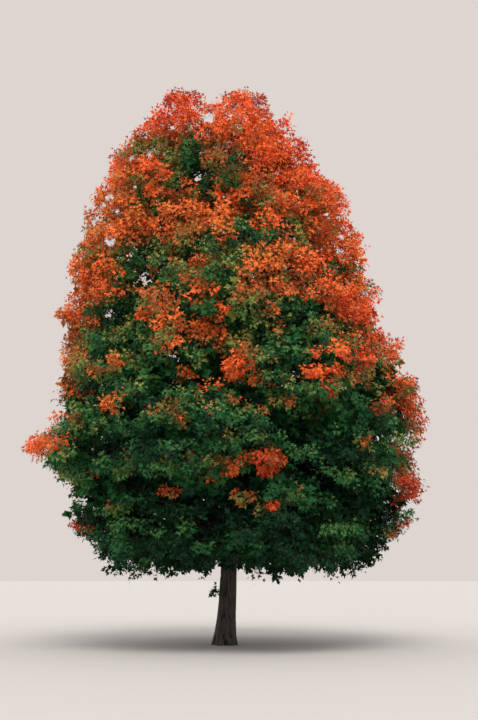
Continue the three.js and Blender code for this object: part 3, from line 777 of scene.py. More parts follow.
bunch_size[:noted_count] = np.clip(noted_radius / USUAL_RADIUS, LEAST_SIZE, MOST_SIZE)


# The branches join each bunch to the limbs. Each new branch leaves the nearest wood that already
# points its way, bends towards its bunch, and thickens with the number of bunches it feeds.
BRANCH_POINTS = 7
BRANCH_SIDES = 6
JOINT_SPACING = 0.16
MOST_JOINTS = 30000
BARE_ON_TRUNK, BARE_ON_BOUGH = 12, 3  # joints at the foot of the trunk and of a bough without branches
BOUGH_GROWN = 0.5  # share of the way along a bough that counts as length already grown
MASS_CORE = 0.25  # how far inside its middle the core of a mass lies, where its first branch ends
CURVE_START, CURVE_END = 0.35, 0.3  # shares of a branch's reach that hold its two ends straight
TIP_RADIUS = 0.0055
LEAST_FED = 0.6  # bunches that the thinnest branch counts as feeding
PIPE_POWER = 2.3  # radius^power adds up where branches join
DETOUR = 0.22  # how much length already grown counts against a joint
TURN_BACK = 0.7  # how much a turn counts against a joint
DROP = 0.6  # how much growing downwards counts


class Framework:
    """The wood so far, as joints: place, direction of growth, parent, and length back to the trunk."""

    def __init__(self, room):
        self.place = np.zeros((room, 3))
        self.way = np.zeros((room, 3))
        self.parent = np.full(room, -1)
        self.grown = np.zeros(room)
        self.feeds = np.zeros(room)
        self.count = 0

    def add(self, place, way, parent, grown):
        """One more joint; returns its number."""
        k = self.count
        self.place[k], self.way[k], self.parent[k], self.grown[k] = place, way, parent, grown
        self.count += 1
        return k

    def best_joint(self, target):
        """The joint with the least cost: distance (1 + turn (1 - cos)) + detour grown + drop below it."""
        n = self.count
        gap = target - self.place[:n]
        distance = np.linalg.norm(gap, axis=1) + 1e-6
        cosine = (gap * self.way[:n]).sum(1) / distance
        cost = distance * (1 + TURN_BACK * (1 - cosine)) + DETOUR * self.grown[:n]
        return int(np.argmin(cost + DROP * np.maximum(0, -gap[:, 2])))

    def grow(self, target, heading):
        """A branch to the target from its joint, and the joints along it.

        It follows (1 - t)^3 a + 3 t (1 - t)^2 b + 3 t^2 (1 - t) c + t^3 d from the joint a to the
        target d, with b ahead of a along the wood there and c behind d along the heading."""
        root = self.best_joint(target)
        start = self.place[root]
        reach = np.linalg.norm(target - start)
        ahead, before = start + CURVE_START * reach * self.way[root], target - CURVE_END * reach * heading
        t = np.linspace(0, 1, BRANCH_POINTS)[:, None]
        weights = [(1 - t) ** 3, 3 * t * (1 - t) ** 2, 3 * t * t * (1 - t), t**3]
        path = sum(w * c for w, c in zip(weights, [start, ahead, before, target]))
        ways = np.gradient(path, axis=0)
        ways /= np.linalg.norm(ways, axis=1, keepdims=True) + 1e-9
        numbers = [root]
        for k in range(1, BRANCH_POINTS):
            step = np.linalg.norm(path[k] - path[k - 1])
            numbers.append(self.add(path[k], ways[k], numbers[-1], self.grown[numbers[-1]] + step))
        return path, numbers

    def feed(self, joint):
        """Counts one more bunch for a joint and all the wood behind it."""
        while joint >= 0:
            self.feeds[joint] += 1
            joint = self.parent[joint]


wood = Framework(MOST_JOINTS)
for name, (line, radii) in limbs.items():
    joints, _, lengths = resample(line, radii, JOINT_SPACING)
    ways, _, _ = path_frames(joints)
    on_trunk = name == "trunk"
    for k in range(BARE_ON_TRUNK if on_trunk else BARE_ON_BOUGH, len(joints)):
        wood.add(joints[k], ways[k], -1, 0.0 if on_trunk else BOUGH_GROWN * lengths[k])

# A branch goes to the core of each mass, nearest the axis first, and then one to each bunch.
mass_middle = np.array([t.reshape(-1, 3).mean(0) for t in mass_triangles])
mass_way = outward(mass_middle)
mass_core = mass_middle - MASS_CORE * mass_way
mass_order = np.argsort(np.linalg.norm(mass_core[:, :2], axis=1))
bunch_order = np.argsort(np.linalg.norm(bunch_foot - mass_core[bunch_mass], axis=1))
targets = np.concatenate([mass_core[mass_order], bunch_foot[bunch_order]])
headings = np.concatenate([mass_way[mass_order], bunch_axis[bunch_order]])
grown_branches = [wood.grow(target, heading) for target, heading in zip(targets, headings)]
branch_paths = np.array([path for path, _ in grown_branches])
branch_joints = np.array([numbers for _, numbers in grown_branches])
for joint in branch_joints[len(mass_names):, -1]:
    wood.feed(joint)
fed = wood.feeds[branch_joints]
fed[:, 0] = fed[:, 1]  # a branch starts as thick as its first stretch, whatever the wood there feeds
branch_radii = TIP_RADIUS * np.maximum(fed, LEAST_FED) ** (1 / PIPE_POWER)


def tubes(paths, radii, sides):
    """Closed tapered tubes along many paths at once: corners, loops and face sizes.

    Round each point p of a path the corners are p + r (cos a u + sin a v), with u = w x q and
    v = w x u for the path's direction w there and the world axis q most nearly across the path. A
    corner on the path closes each end."""
    along = np.gradient(paths, axis=1)
    along /= np.linalg.norm(along, axis=2, keepdims=True) + 1e-12
    reference = np.eye(3)[np.abs(along.mean(1)).argmin(1)][:, None]
    u = np.cross(along, reference)
    u /= np.linalg.norm(u, axis=2, keepdims=True) + 1e-12
    v = np.cross(along, u)
    angles = np.linspace(0, 2 * np.pi, sides, endpoint=False)[:, None]
    ring = np.cos(angles) * u[:, :, None] + np.sin(angles) * v[:, :, None]
    corners = paths[:, :, None] + radii[..., None, None] * ring
    corners = np.concatenate([corners.reshape(-1, 3), paths[:, 0], paths[:, -1]])
    return corners, *tube_faces(*radii.shape, sides)


def plain_material(name, colour, roughness, specular):
    """One plain colour over the whole surface, all on the shader's own sockets."""
    material = bpy.data.materials.new(name)
    material.use_nodes = True
    shader = material.node_tree.nodes["Principled BSDF"]
    shader.inputs["Base Color"].default_value = linear(*colour)
    shader.inputs["Roughness"].default_value = roughness
    shader.inputs["Specular IOR Level"].default_value = specular
    return material


branch_bark = plain_material("branch_bark", (70, 62, 56), roughness=0.85, specular=0.2)
branch_mesh = new_mesh("branches", *tubes(branch_paths, branch_radii, BRANCH_SIDES))
place_piece(branch_mesh, branch_bark, mass_names, smooth=True)


# The twigs are red-brown. Each branch ends in a short straight stem, from which last year's sprigs fan
# out and sag a little. This year's short shoots leave them crosswise, each pair a quarter turn from
# the one before. Two small sprigs have sprouted from the bare foot of the trunk.
TWIG_SEED = 4
STEM_LENGTH = 0.34
STEM_USED = 0.85  # share of a stem, from its tip down, that bears sprigs
SPRIGS_OUTER, SPRIGS_INNER = 5, 3
SPRIG_SHORT, SPRIG_LONG = 0.24, 0.44
SPRIG_RADIUS = 0.0036
SPRIG_SPREAD = 1.1  # how wide the lowest sprigs of a bunch stand off, in radians from its stem
SPREAD_PLACE = (0.2, 0.8)  # where in its own step of the spread a sprig may stand
TURN_OF_SPRIGS = 2.4  # radians from one sprig of a fan to the next
TURN_SCATTER = 0.7  # and up to this much more
TURN_OF_BUNCHES = 1.7  # radians by which the fan of each bunch is turned from the last one's
CROWN_FROM, CROWN_RISE = 2.5, 9  # height of the lowest tier, and from there to the top one
SPRIG_RISE = 0.5  # how much the sprigs of the top turn up
SPRIG_DROP = 0.12  # and how much all of them turn down
SPRIG_LAYER = 0.8  # how much the lowest sprigs are flattened into layers
SHADE_LAYER = 0.5  # and those in the shade
SPRIG_SAG = 0.09  # metres at the tip
LOW_SAG = 1.15  # times as much in the lowest tier, and one time less at the top
SAG_RANGE = (0.4, 1.4)  # times that from sprig to sprig
SPRIG_LEAVES = 0.04  # metres past a sprig's length where its leaves are seen
SIDE_MARGIN, TOP_MARGIN = 0.1, 0.12  # metres inside the crown's edge up to which sprigs may reach
HOLLOW_BARE = 0.8  # share of the sprigs left out before a dark hollow
SPROUTS = [((-1.0, -0.2, 0.5), 0.12, 1.1), ((-0.8, -0.5, 0.9), 0.1, 1.15)]  # way, length and height
SPROUT_SINK = 0.96  # share of the trunk's radius at which they start
SPROUT_SAG = 0.02
MEAN_LEAN = 0.5  # how far a usual sprig leans, as a share of the spread
SHOOTS_OUTER, SHOOTS_INNER = 5, 4
SHOOT_SHORT, SHOOT_LONG = 0.1, 0.19
SHOOT_RADIUS = 0.0022
FIRST_SHOOT, SHOOT_STRETCH = 0.5, 0.42  # share of a sprig where shoots begin, and that they stand along
SHOOT_ANGLE = 0.95  # radians between a sprig and its side shoots
ANGLE_RANGE = (0.7, 1.2)  # times that from shoot to shoot
END_ANGLE = 0.15  # radians between a sprig and the shoot at its end
QUARTER_TURN = 1.57
SHOOT_SCATTER = 0.5  # radians by which a shoot may stand off its turn
SHOOT_LAYER = 0.6  # how much the shoots of the lowest lit sprigs are flattened
SHOOT_RISE = 0.25  # how much the shoots of the top turn up
FOOT_LENGTH, TIP_SHORTER = 1.15, 0.3  # times the length at a sprig's foot, and how much less at its tip
SPROUT_SHOOTS = 0.5  # times the length on the sprouts


def ramp(values, start, width):
    """(value - start) / width, but at least 0 and at most 1."""
    return np.clip((values - start) / width, 0, 1)


def numbered(counts):
    """The group of each member of several groups with these counts, and its own number in the group."""
    group = np.repeat(np.arange(len(counts)), counts)
    return group, np.arange(len(group)) - (np.cumsum(counts) - counts)[group]


def across(ways):
    """A level direction at right angles to each way, and the direction at right angles to both."""
    level = unit(np.cross(ways, [0, 0, 1.0]) + 1e-6)
    return level, np.cross(level, ways)


def fan_directions(axis, bunch, order, total):
    """Directions in a cone round each axis, evenly filled by the sunflower rule.

    The k-th of n stands at the angle spread sqrt((k + s) / n) from the axis for a random share s, and
    each is turned round it by 2.4 radians and a little more. That angle over the spread comes too."""
    reference = np.where(np.abs(axis[:, 2:]) < 0.9, [[0, 0, 1.0]], [[1.0, 0, 0]])
    side = unit(np.cross(axis, reference))
    up = np.cross(side, axis)
    lean = SPRIG_SPREAD * np.sqrt((order + rng.uniform(*SPREAD_PLACE, len(order))) / total)
    turn = TURN_OF_SPRIGS * order + rng.uniform(0, TURN_SCATTER, len(order)) + TURN_OF_BUNCHES * bunch
    off_axis = np.cos(turn)[:, None] * side + np.sin(turn)[:, None] * up
    return np.cos(lean)[:, None] * axis + np.sin(lean)[:, None] * off_axis, lean / SPRIG_SPREAD


rng = np.random.default_rng(TWIG_SEED)
sprigs_of = np.where(bunch_inner | (bunch_size < SMALL_BUNCH / USUAL_RADIUS), SPRIGS_INNER, SPRIGS_OUTER)
sprig_bunch, sprig_order = numbered(sprigs_of)
sprig_way, sprig_lean = fan_directions(
    bunch_axis[sprig_bunch], sprig_bunch, sprig_order, sprigs_of[sprig_bunch]
)
crown_share = ramp(bunch_foot[sprig_bunch, 2], CROWN_FROM, CROWN_RISE)
sprig_way[:, 2] += SPRIG_RISE * crown_share - SPRIG_DROP
sprig_layer = np.where(bunch_inner[sprig_bunch], SHADE_LAYER, SPRIG_LAYER)
sprig_way[:, 2] *= 1 - sprig_layer * (1 - crown_share)
sprig_way = unit(sprig_way)
sprig_length = rng.uniform(SPRIG_SHORT, SPRIG_LONG, len(sprig_bunch)) * bunch_size[sprig_bunch]
down_stem = STEM_USED * sprig_order / (sprigs_of[sprig_bunch] - 1)
up_stem = STEM_LENGTH * bunch_size[sprig_bunch] * (1 - down_stem)
sprig_foot = bunch_foot[sprig_bunch] + up_stem[:, None] * bunch_axis[sprig_bunch]
sag = SPRIG_SAG * (LOW_SAG - crown_share) * rng.uniform(*SAG_RANGE, len(sprig_bunch))

# Sprigs that would pass the crown's edge are left out, and so are most of those before the hollows.
sprig_middle = sprig_foot + (sprig_length[:, None] + SPRIG_LEAVES) * sprig_way
seen = seen_places(sprig_middle)
left, right = edge_at(seen[:, 1])
kept = (seen[:, 0] > left + SIDE_MARGIN) & (seen[:, 0] < right - SIDE_MARGIN)
kept &= seen[:, 1] < read_off(CROWN_TOP, seen[:, 0]) - TOP_MARGIN
before_trunk = (sprig_middle[:, 1] < 0) & ~bunch_inner[sprig_bunch]
for x, z, radius in DARK_HOLLOWS:
    left_out = rng.random(len(seen)) < HOLLOW_BARE
    kept &= ~(before_trunk & (gap_to(seen, x, z) < radius) & left_out)
sprig_bunch, sprig_way, sprig_length = sprig_bunch[kept], sprig_way[kept], sprig_length[kept]
sprig_foot, sag, crown_share, sprig_lean = sprig_foot[kept], sag[kept], crown_share[kept], sprig_lean[kept]

lowest = int(np.argmin(sprig_foot[:, 2] + FAR_OFF * bunch_inner[sprig_bunch]))
for way, length, height in SPROUTS:  # each counts with the bunch of the lowest lit sprig
    row = np.searchsorted(trunk_heights, height)
    level_way = unit(np.array([way[0], way[1], 0.0]))
    sprig_foot = np.append(sprig_foot, [trunk_rows[row] + SPROUT_SINK * row_radii[row] * level_way], 0)
    sprig_way = np.append(sprig_way, [unit(np.array(way))], 0)
    sprig_length, sag = np.append(sprig_length, length), np.append(sag, SPROUT_SAG)
    crown_share, sprig_lean = np.append(crown_share, 0.0), np.append(sprig_lean, MEAN_LEAN)
    sprig_bunch = np.append(sprig_bunch, sprig_bunch[lowest])


def on_sprigs(sprigs, shares):
    """Points on the sprigs at shares of their length: foot + share length way - share^2 sag upright."""
    places = sprig_foot[sprigs] + (shares * sprig_length[sprigs])[..., None] * sprig_way[sprigs]
    places[..., 2] -= shares**2 * sag[sprigs]
    return places


sprig_inner = bunch_inner[sprig_bunch]
shoots_of = np.where(sprig_inner, SHOOTS_INNER, SHOOTS_OUTER)
shoot_sprig, shoot_order = numbered(shoots_of)
shoot_count = len(shoot_sprig)
is_last = shoot_order == shoots_of[shoot_sprig] - 1
side_share = FIRST_SHOOT + SHOOT_STRETCH * shoot_order / (shoots_of[shoot_sprig] - 1)
shoot_share = np.where(is_last, 1.0, side_share)
shoot_foot = on_sprigs(shoot_sprig, shoot_share)
ahead = sprig_way[shoot_sprig].copy()  # the sprig's own direction at the shoot's foot, with its sag
ahead[:, 2] -= 2 * shoot_share * (sag / sprig_length)[shoot_sprig]
ahead = unit(ahead)
level, raised = across(ahead)
quarters = shoot_order // 2 % 2 + shoot_order % 2 * 2
turned = quarters * QUARTER_TURN + rng.uniform(-SHOOT_SCATTER, SHOOT_SCATTER, shoot_count)
angle = np.where(is_last, END_ANGLE, SHOOT_ANGLE * rng.uniform(*ANGLE_RANGE, shoot_count))[:, None]
shoot_way = np.cos(angle) * ahead
shoot_way += np.sin(angle) * (np.cos(turned)[:, None] * level + np.sin(turned)[:, None] * raised)
shoot_way[:, 2] *= 1 - SHOOT_LAYER * ((1 - crown_share) * ~sprig_inner)[shoot_sprig]
shoot_way[:, 2] += SHOOT_RISE * crown_share[shoot_sprig]
shoot_way = unit(shoot_way)
shoot_length = rng.uniform(SHOOT_SHORT, SHOOT_LONG, shoot_count) * (FOOT_LENGTH - TIP_SHORTER * shoot_share)
shoot_length *= np.sqrt(bunch_size[sprig_bunch])[shoot_sprig]
on_sprout = shoot_sprig >= len(sprig_bunch) - len(SPROUTS)
shoot_length[on_sprout] *= SPROUT_SHOOTS
shoot_tip = shoot_foot + shoot_length[:, None] * shoot_way


def thorns(paths, radius):
    """Three-sided twigs along paths of two or more points, each to a point, with the foot closed.

    Ring k of a path of n points has its corners at p + (1 - k / n) r (cos a u + sin a v)."""
    count, rings = len(paths), paths.shape[1] - 1
    way = unit(paths[:, -1] - paths[:, 0])
    u = unit(np.cross(way, np.eye(3)[np.abs(way).argmin(1)]))
    v = np.cross(way, u)
    angles = np.arange(3) * 2 * np.pi / 3
    ring = np.cos(angles)[:, None] * u[:, None] + np.sin(angles)[:, None] * v[:, None]
    radii = radius * (1 - np.arange(rings) / (rings + 1.0))
    corners = paths[:, :-1, None] + radii[:, None, None] * ring[:, None]
    corners = np.concatenate([corners.reshape(count, -1, 3), paths[:, -1:]], 1)
    faces = [(0, 2, 1)]
    for low in range(0, 3 * rings - 3, 3):
        faces += [(low + a, low + b, low + 3 + b) for a, b in ((0, 1), (1, 2), (2, 0))]
        faces += [(low + a, low + 3 + b, low + 3 + a) for a, b in ((0, 1), (1, 2), (2, 0))]
    top = 3 * rings - 3
    faces += [(top + a, top + b, top + 3) for a, b in ((0, 1), (1, 2), (2, 0))]
    loops = np.array(faces)[None] + (3 * rings + 1) * np.arange(count)[:, None, None]
    return corners.reshape(-1, 3), loops.ravel(), np.full(count * len(faces), 3)


twig_bark = plain_material("twig_bark", (84, 56, 48), roughness=0.7, specular=0.2)
stem_tip = bunch_foot + (STEM_LENGTH * bunch_size)[:, None] * bunch_axis
stem_paths = np.stack([bunch_foot, stem_tip], 1)
sprig_paths = on_sprigs(np.arange(len(sprig_bunch))[:, None], np.array([[0, 0.5, 1.0]]))
shoot_paths = np.stack([shoot_foot, shoot_tip], 1)
twig_masses = [mass_names[m] for m in np.unique(bunch_mass[sprig_bunch])]
for name, paths, radius, masses in [
    ("stems", stem_paths, TIP_RADIUS, mass_names),
    ("sprigs", sprig_paths, SPRIG_RADIUS, twig_masses),
    ("shoots", shoot_paths, SHOOT_RADIUS, twig_masses),
]:
    place_piece(new_mesh(name, *thorns(paths, radius)), twig_bark, masses, smooth=False)


# The leaves are thin blades with three shallow pointed lobes, folded a little along the middle rib.
# Those in the light hang on thin stalks, and those in the shade are larger and narrow down to the
# shoot. The leaves of a shoot share one tint, and the shoots outside and at the top turn first.
GREENS = [  # name, colour on screen, record slot, and the turn value from which it is dealt
    ("shade_green", (16, 52, 27), "green_leaves", -9.0),
    ("deep_green", (33, 84, 42), "green_leaves", 0.14),
    ("leaf_green", (68, 112, 56), "green_leaves", 0.32),
    ("moss_green", (124, 134, 64), "green_leaves", 0.46),
    ("olive", (144, 110, 54), "turning_leaves", 0.55),
    ("russet", (172, 92, 48), "turning_leaves", 0.63),
    ("rust", (196, 88, 38), "orange_leaves", 0.71),
]
TURNED = 0.78  # turn value from which a spray is one of the turned tints
TURNED_TINTS = [  # name, colour on screen, record slot, and the redness from which it is dealt
    ("amber", (216, 126, 56), "orange_leaves", -9.0),
    ("orange", (234, 116, 52), "orange_leaves", -0.3),
    ("vermilion", (238, 102, 46), "orange_leaves", 0.2),
    ("scarlet", (216, 78, 40), "orange_leaves", 0.65),
    # scarlet and brick also fall on the lower shoots of each bunch as painted shade
    ("brick", (176, 60, 32), "orange_leaves", 1.0),
]
TURN_BY_HEIGHT = [  # metres, and how far the sprays there have turned on the whole
    (1.8, 0.08), (2.6, 0.2), (4.0, 0.3), (5.0, 0.41), (6.0, 0.52), (7.0, 0.58), (8.0, 0.62), (9.0, 0.7),
    (10.0, 0.83), (10.8, 0.86), (11.7, 0.92), (13.3, 1.0),
]
TURN_PATCHES, PATCH_SIZE, TURN_SEED = 0.12, 1.7, 5  # how far parts of the crown differ, and their size
SWELL_TURN_AND_SHADE = 0.1  # how much further it has turned where the lit layer swells; where it sinks the sprays take darker greens, partly painted shade
RIGHT_TURN = 0.17  # how much further the right side has turned
RIGHT_UP = (6, 1.5)  # from this height, and fully so much higher
RIGHT_OUT = (1, 2)  # from so far right of the axis, and fully so much further
FRONT_END, FRONT_FADE = 1.5, 0.8  # metres behind the axis where the front ends, and over which it fades
BACK_PATCHES = 115  # seeded patches of turned sprays on the sides and the back
BACK_RADII = (0.4, 0.7)
BACK_LOW = 3.0  # above this height
BACK_CENTRE = 0.4  # metres from a bunch's foot to the middle of its patch
RIM_LOW_LEFT, RIM_LOW_RIGHT = 5.0, 2.6  # heights from which the crown's edges have turned
RIM_RISE = 0.8  # and so much higher fully
RIM_START = [(6.5, 0.82), (8.2, 0.62)]  # height, and the share of the half width where the rim begins
RIM_FADE = 0.12
RIM_TURN = 0.84  # least turn at the rim
RIM_SHADED = 0.85  # and how far shaded sprays may turn there
SHADE_LAG = [(5, 0.12), (7, 0.16), (9, 0.2), (11.5, 0.06)]  # height, and how far shaded sprays are behind
HOLLOW_SHADE = 0.22  # painted shade: how far the sprays round a dark hollow are held back, to darker greens
INNER_MOST = [(3, 0.3), (6.5, 0.5), (8.5, 0.8), (11, 1.0)]  # height, and the most that shaded sprays turn
DEEP_MOST = [(3, 0.2), (8, 0.36), (11.5, 0.7)]  # and the most that the innermost ones turn
LOW_MOST = [(2.6, 0.45), (3.4, 1.2)]  # and the most that any but the noted ones turn
TOLD_BY_BUNCH = 0.6  # how far the shoots of a bunch turn together
TURNED_REACH = 0.75  # the neighbours of a noted turned bunch turn within this share of its radius
BUNCH_NOISE, FREE_NOISE = 0.03, 0.09  # how far bunches differ, and how much more if not near a noted one
NOISE_RANGE = (-1.8, 1.6)
SPRIG_NOISE, SHOOT_NOISE = 0.06, 0.07
RISING_TURN, MEAN_RISE = 0.08, 0.1  # shoots that point up have turned further
LEANING_LAG = 0.06  # those on sprigs that lean less far
TIP_TURN, MEAN_SHARE = 0.2, 0.8  # and those at a sprig's tip further
HIGH_TURN_AND_LIGHT, MOST_ABOVE = 0.6, 0.3  # for each metre above the middle of the bunch, up to so many metres: the upper shoots have turned further and take lighter tints as painted light, the lower ones darker tints as painted shade
HIGH_END, HIGH_FADE = 11, 2  # height where that ends, and over which it fades
RED_TO_RIGHT = 0.09  # how much redder turned shoots are for each metre to the right
RED_PATCHES, RED_SIZE, RED_SEED = 0.3, 3.1, 8
RED_WITH_TURN, FULL_TURN = 0.7, 0.9
RED_BY_HEIGHT = [(3.5, 0.9), (5, 0.35), (6.5, 0.1), (9, -0.05), (11.8, 0.6), (12.5, 1.25)]
RED_NOISE = 0.2
UNDERSIDE_PAINTED_SHADE = 1.7  # painted shade: redder, darker tints for each metre that a turned shoot hangs below the middle of its bunch, and lighter ones above it
OPEN_GAPS = [  # x, z and radius, where the viewer sees right through the crown
    (-0.4, 12.4, 0.17), (-0.45, 12.08, 0.09), (-1.3, 12.15, 0.08), (-0.8, 12.65, 0.07),
    (-0.7, 10.85, 0.1), (-1.1, 10.85, 0.06), (-2.85, 10.35, 0.11), (-2.75, 9.25, 0.15),
    (-1.9, 8.33, 0.19), (-2.75, 7.5, 0.14), (-1.3, 7.55, 0.09), (1.75, 10.5, 0.1), (2.75, 9.4, 0.08),
    (2.65, 9.05, 0.05), (-0.3, 9.7, 0.05), (0.9, 12.35, 0.06), (-2.75, 10.4, 0.08), (-2.2, 10.65, 0.07),
    (-2.95, 10.2, 0.08), (-3.15, 9.75, 0.08), (-1.85, 11.45, 0.08), (-1.3, 11.1, 0.07),
    (-2.6, 10.05, 0.07), (-2.3, 11.35, 0.09), (-2.2, 8.2, 0.07), (2.4, 9.95, 0.08),
]

middle = shoot_foot + 0.5 * (shoot_tip - shoot_foot)
shoot_bunch = sprig_bunch[shoot_sprig]
shaded = bunch_inner[shoot_bunch]
innermost = shoot_bunch >= len(outer) + len(inner)
bunch_middle = bunch_foot + BUNCH_MIDDLE * bunch_axis
above = np.clip(middle[:, 2] - bunch_middle[shoot_bunch, 2], -MOST_ABOVE, MOST_ABOVE)
told = middle + TOLD_BY_BUNCH * (bunch_middle[shoot_bunch] - middle)  # the place by which a shoot turns
seen = seen_places(told)

# How far each shoot has turned grows with its height, to the right and in patches.
turn = read_off(TURN_BY_HEIGHT, middle[:, 2])
# Proud bunches have turned further, and sunken ones take darker greens, partly as painted shade.
turn += TURN_PATCHES * drift(told, PATCH_SIZE, TURN_SEED) + SWELL_TURN_AND_SHADE * bunch_swell[shoot_bunch]
turn += RIGHT_TURN * ramp(middle[:, 2], *RIGHT_UP) * ramp(middle[:, 0], *RIGHT_OUT)

# On the back, patches r wide round places c draw it to the full turn by exp(-(|p - c| / r)^4).
back_turn = turn.copy()
for k in rng.choice(np.flatnonzero(bunch_foot[:len(outer), 2] > BACK_LOW), BACK_PATCHES):
    size = rng.uniform(*BACK_RADII)
    centre = bunch_foot[k] + BACK_CENTRE * bunch_axis[k]
    hold = np.exp(-((np.linalg.norm(middle - centre, axis=1) / size) ** 4))
    back_turn += hold * (FULL_TURN - back_turn)

# On the side that is seen the rim has turned, and each noted bunch draws its neighbours to its own
# turn by exp(-(gap / radius)^4). Shaded sprays are behind, and round the dark hollows the sprays take
# darker greens as painted shade.
left, right = edge_at(seen[:, 1])
from_middle = 2 * (seen[:, 0] - left) / (right - left) - 1
rim_low = np.where(from_middle < 0, RIM_LOW_LEFT, RIM_LOW_RIGHT)
at_rim = ramp(np.abs(from_middle), read_off(RIM_START, seen[:, 1]), RIM_FADE)
at_rim *= ramp(seen[:, 1], rim_low, RIM_RISE)
turn += at_rim * (np.maximum(turn, RIM_TURN) - turn)
shade_lag = np.where(shaded, read_off(SHADE_LAG, middle[:, 2]), 0)
turn -= shade_lag
back_turn -= shade_lag
front = ramp(-middle[:, 1], -FRONT_END, FRONT_FADE)
free = np.ones(shoot_count)  # 0 where a noted bunch holds, 1 where none does
for x, z, radius, value in NOTED_BUNCHES:
    reach = radius * (TURNED_REACH if value > NOTED_TURNED else 1)
    hold = np.exp(-((gap_to(seen, x, z) / reach) ** 4))
    turn += hold * (value - turn)
    free = np.minimum(free, 1 - hold * front)
# Round each dark hollow the sprays take darker greens, painted shade.
for x, z, radius in DARK_HOLLOWS:
    turn -= HOLLOW_SHADE * np.exp(-((gap_to(seen, x, z) / radius) ** 2))
turn = front * turn + (1 - front) * back_turn
own = shoot_bunch < noted_count
turn[own] = noted_turn[shoot_bunch[own]]
free[own] = 0

# Bunches, sprigs and shoots then differ at random, and by how they stand.
bunch_noise = np.clip(rng.normal(0, 1, len(bunch_foot)), *NOISE_RANGE)
turn += (BUNCH_NOISE + FREE_NOISE * free) * bunch_noise[shoot_bunch]
sprig_noise = SPRIG_NOISE * rng.normal(0, 1, len(sprig_bunch))
turn += sprig_noise[shoot_sprig] + rng.normal(0, SHOOT_NOISE, shoot_count)
turn += (
    RISING_TURN * (shoot_way[:, 2] - MEAN_RISE) - LEANING_LAG * (sprig_lean[shoot_sprig] - MEAN_LEAN)
    + TIP_TURN * (shoot_share - MEAN_SHARE)
)
# Upper shoots of a bunch take lighter tints and lower ones darker: partly the further turn of leaves on
# top, partly painted light and painted shade.
turn += HIGH_TURN_AND_LIGHT * above * ramp(-middle[:, 2], -HIGH_END, HIGH_FADE)
most = np.where(shaded, read_off(INNER_MOST, middle[:, 2]), FAR_OFF)
most = np.where(innermost, read_off(DEEP_MOST, middle[:, 2]), most)
turn = np.minimum(turn, most + at_rim * np.maximum(0, RIM_SHADED - most))
turn = np.where(own, turn, np.minimum(turn, read_off(LOW_MOST, middle[:, 2])))

redness = RED_TO_RIGHT * middle[:, 0] + RED_PATCHES * drift(middle, RED_SIZE, RED_SEED)
redness += RED_WITH_TURN * (turn - FULL_TURN)
redness += read_off(RED_BY_HEIGHT, middle[:, 2]) + rng.normal(0, RED_NOISE, shoot_count)
# Painted light on each bunch: its upper shoots take lighter turned tints, its lower ones darker, redder
# ones as painted shade.
redness -= UNDERSIDE_PAINTED_SHADE * above
tints = GREENS + TURNED_TINTS
green_tint = np.searchsorted([row[3] for row in GREENS], turn, side="right") - 1
turned_tint = len(GREENS) + np.searchsorted([row[3] for row in TURNED_TINTS], redness, side="right") - 1
shoot_tint = np.where(turn >= TURNED, turned_tint, green_tint)

LEAF_PAIRS = 3  # on each shoot
FIRST_PAIR = 0.35  # share of a shoot where the first pair stands
PAIR_TURN = 1.2  # radians by which every second pair is turned round the shoot
PAIR_SCATTER = 0.5
LEAF_AHEAD, LEAF_ASIDE, LEAF_SCATTER = 0.6, 0.85, 0.3  # along the shoot, off it and at random
END_AHEAD = 0.5  # more along the shoot for its end pair
LEAF_DROOP, LOW_DROOP = 0.15, 0.4  # down, and more in the lowest tier
FACE_OUT, FACE_SCATTER = 0.8, 0.55  # how much blades face away from the crown's heart and at random
OUT_AND_UP = [(9.5, 1), (11.5, 0.35)]  # height, and how much of the rise of that direction counts
FACE_UP = [(9, 0.65), (11.5, 0.3)]  # height, and how much blades in the light face straight up
SHADE_FACE_UP = 0.2
LEAF_WIDTH = 0.087
SHADE_LEAF_WIDTH = 0.115  # shade leaves are larger
CORE_LEAF_WIDTH = 0.145  # and the largest hang in the middle of the crown
LARGER = [(2.3, 0.2), (3.2, 1.2), (6, 1.1), (7.5, 0.5), (10.5, 0.2)]  # height, and how much of that holds
WIDTH_RANGE = (0.7, 1.2)  # times its width from leaf to leaf
FOLD_RANGE = (0.05, 0.5)  # rise of a blade's sides for each leaf width off the rib
CURL_RANGE = (-0.05, 0.4)  # fall of its tip one leaf width from the base
STALK_SHORT, STALK_LONG = 0.03, 0.075
STALK_WIDTH = 0.002
SUN_OUTLINE = [  # corners of a blade across and along it, in leaf widths
    (0, 0), (0.55, 0.46), (0.19, 0.45), (0, 1.04), (-0.19, 0.45), (-0.55, 0.46),
]
SHADE_OUTLINE = [  # in the shade it is less deeply cut
    (0, 0), (0.54, 0.38), (0.27, 0.5), (0, 1.02), (-0.27, 0.5), (-0.54, 0.38),
]
BLADE_FACES = [(0, 1, 2), (0, 2, 3), (0, 3, 4), (0, 4, 5)]
STALK_FACE = (6, 7, 8)
MOST_LEAVES = 39000  # in one piece, so that it stays under 200,000 triangles
EDGE_RAGGED = 0.07  # metres by which single leaves pass the crown's edge or fall short of it
EDGE_WAVES, WAVE_SIZE, EDGE_SEED = 0.15, 0.65, 12  # metres by which the edge swells, and over what length
GAP_RAGGED = (0.4, 1.5)  # times a gap's radius within which single leaves are left out

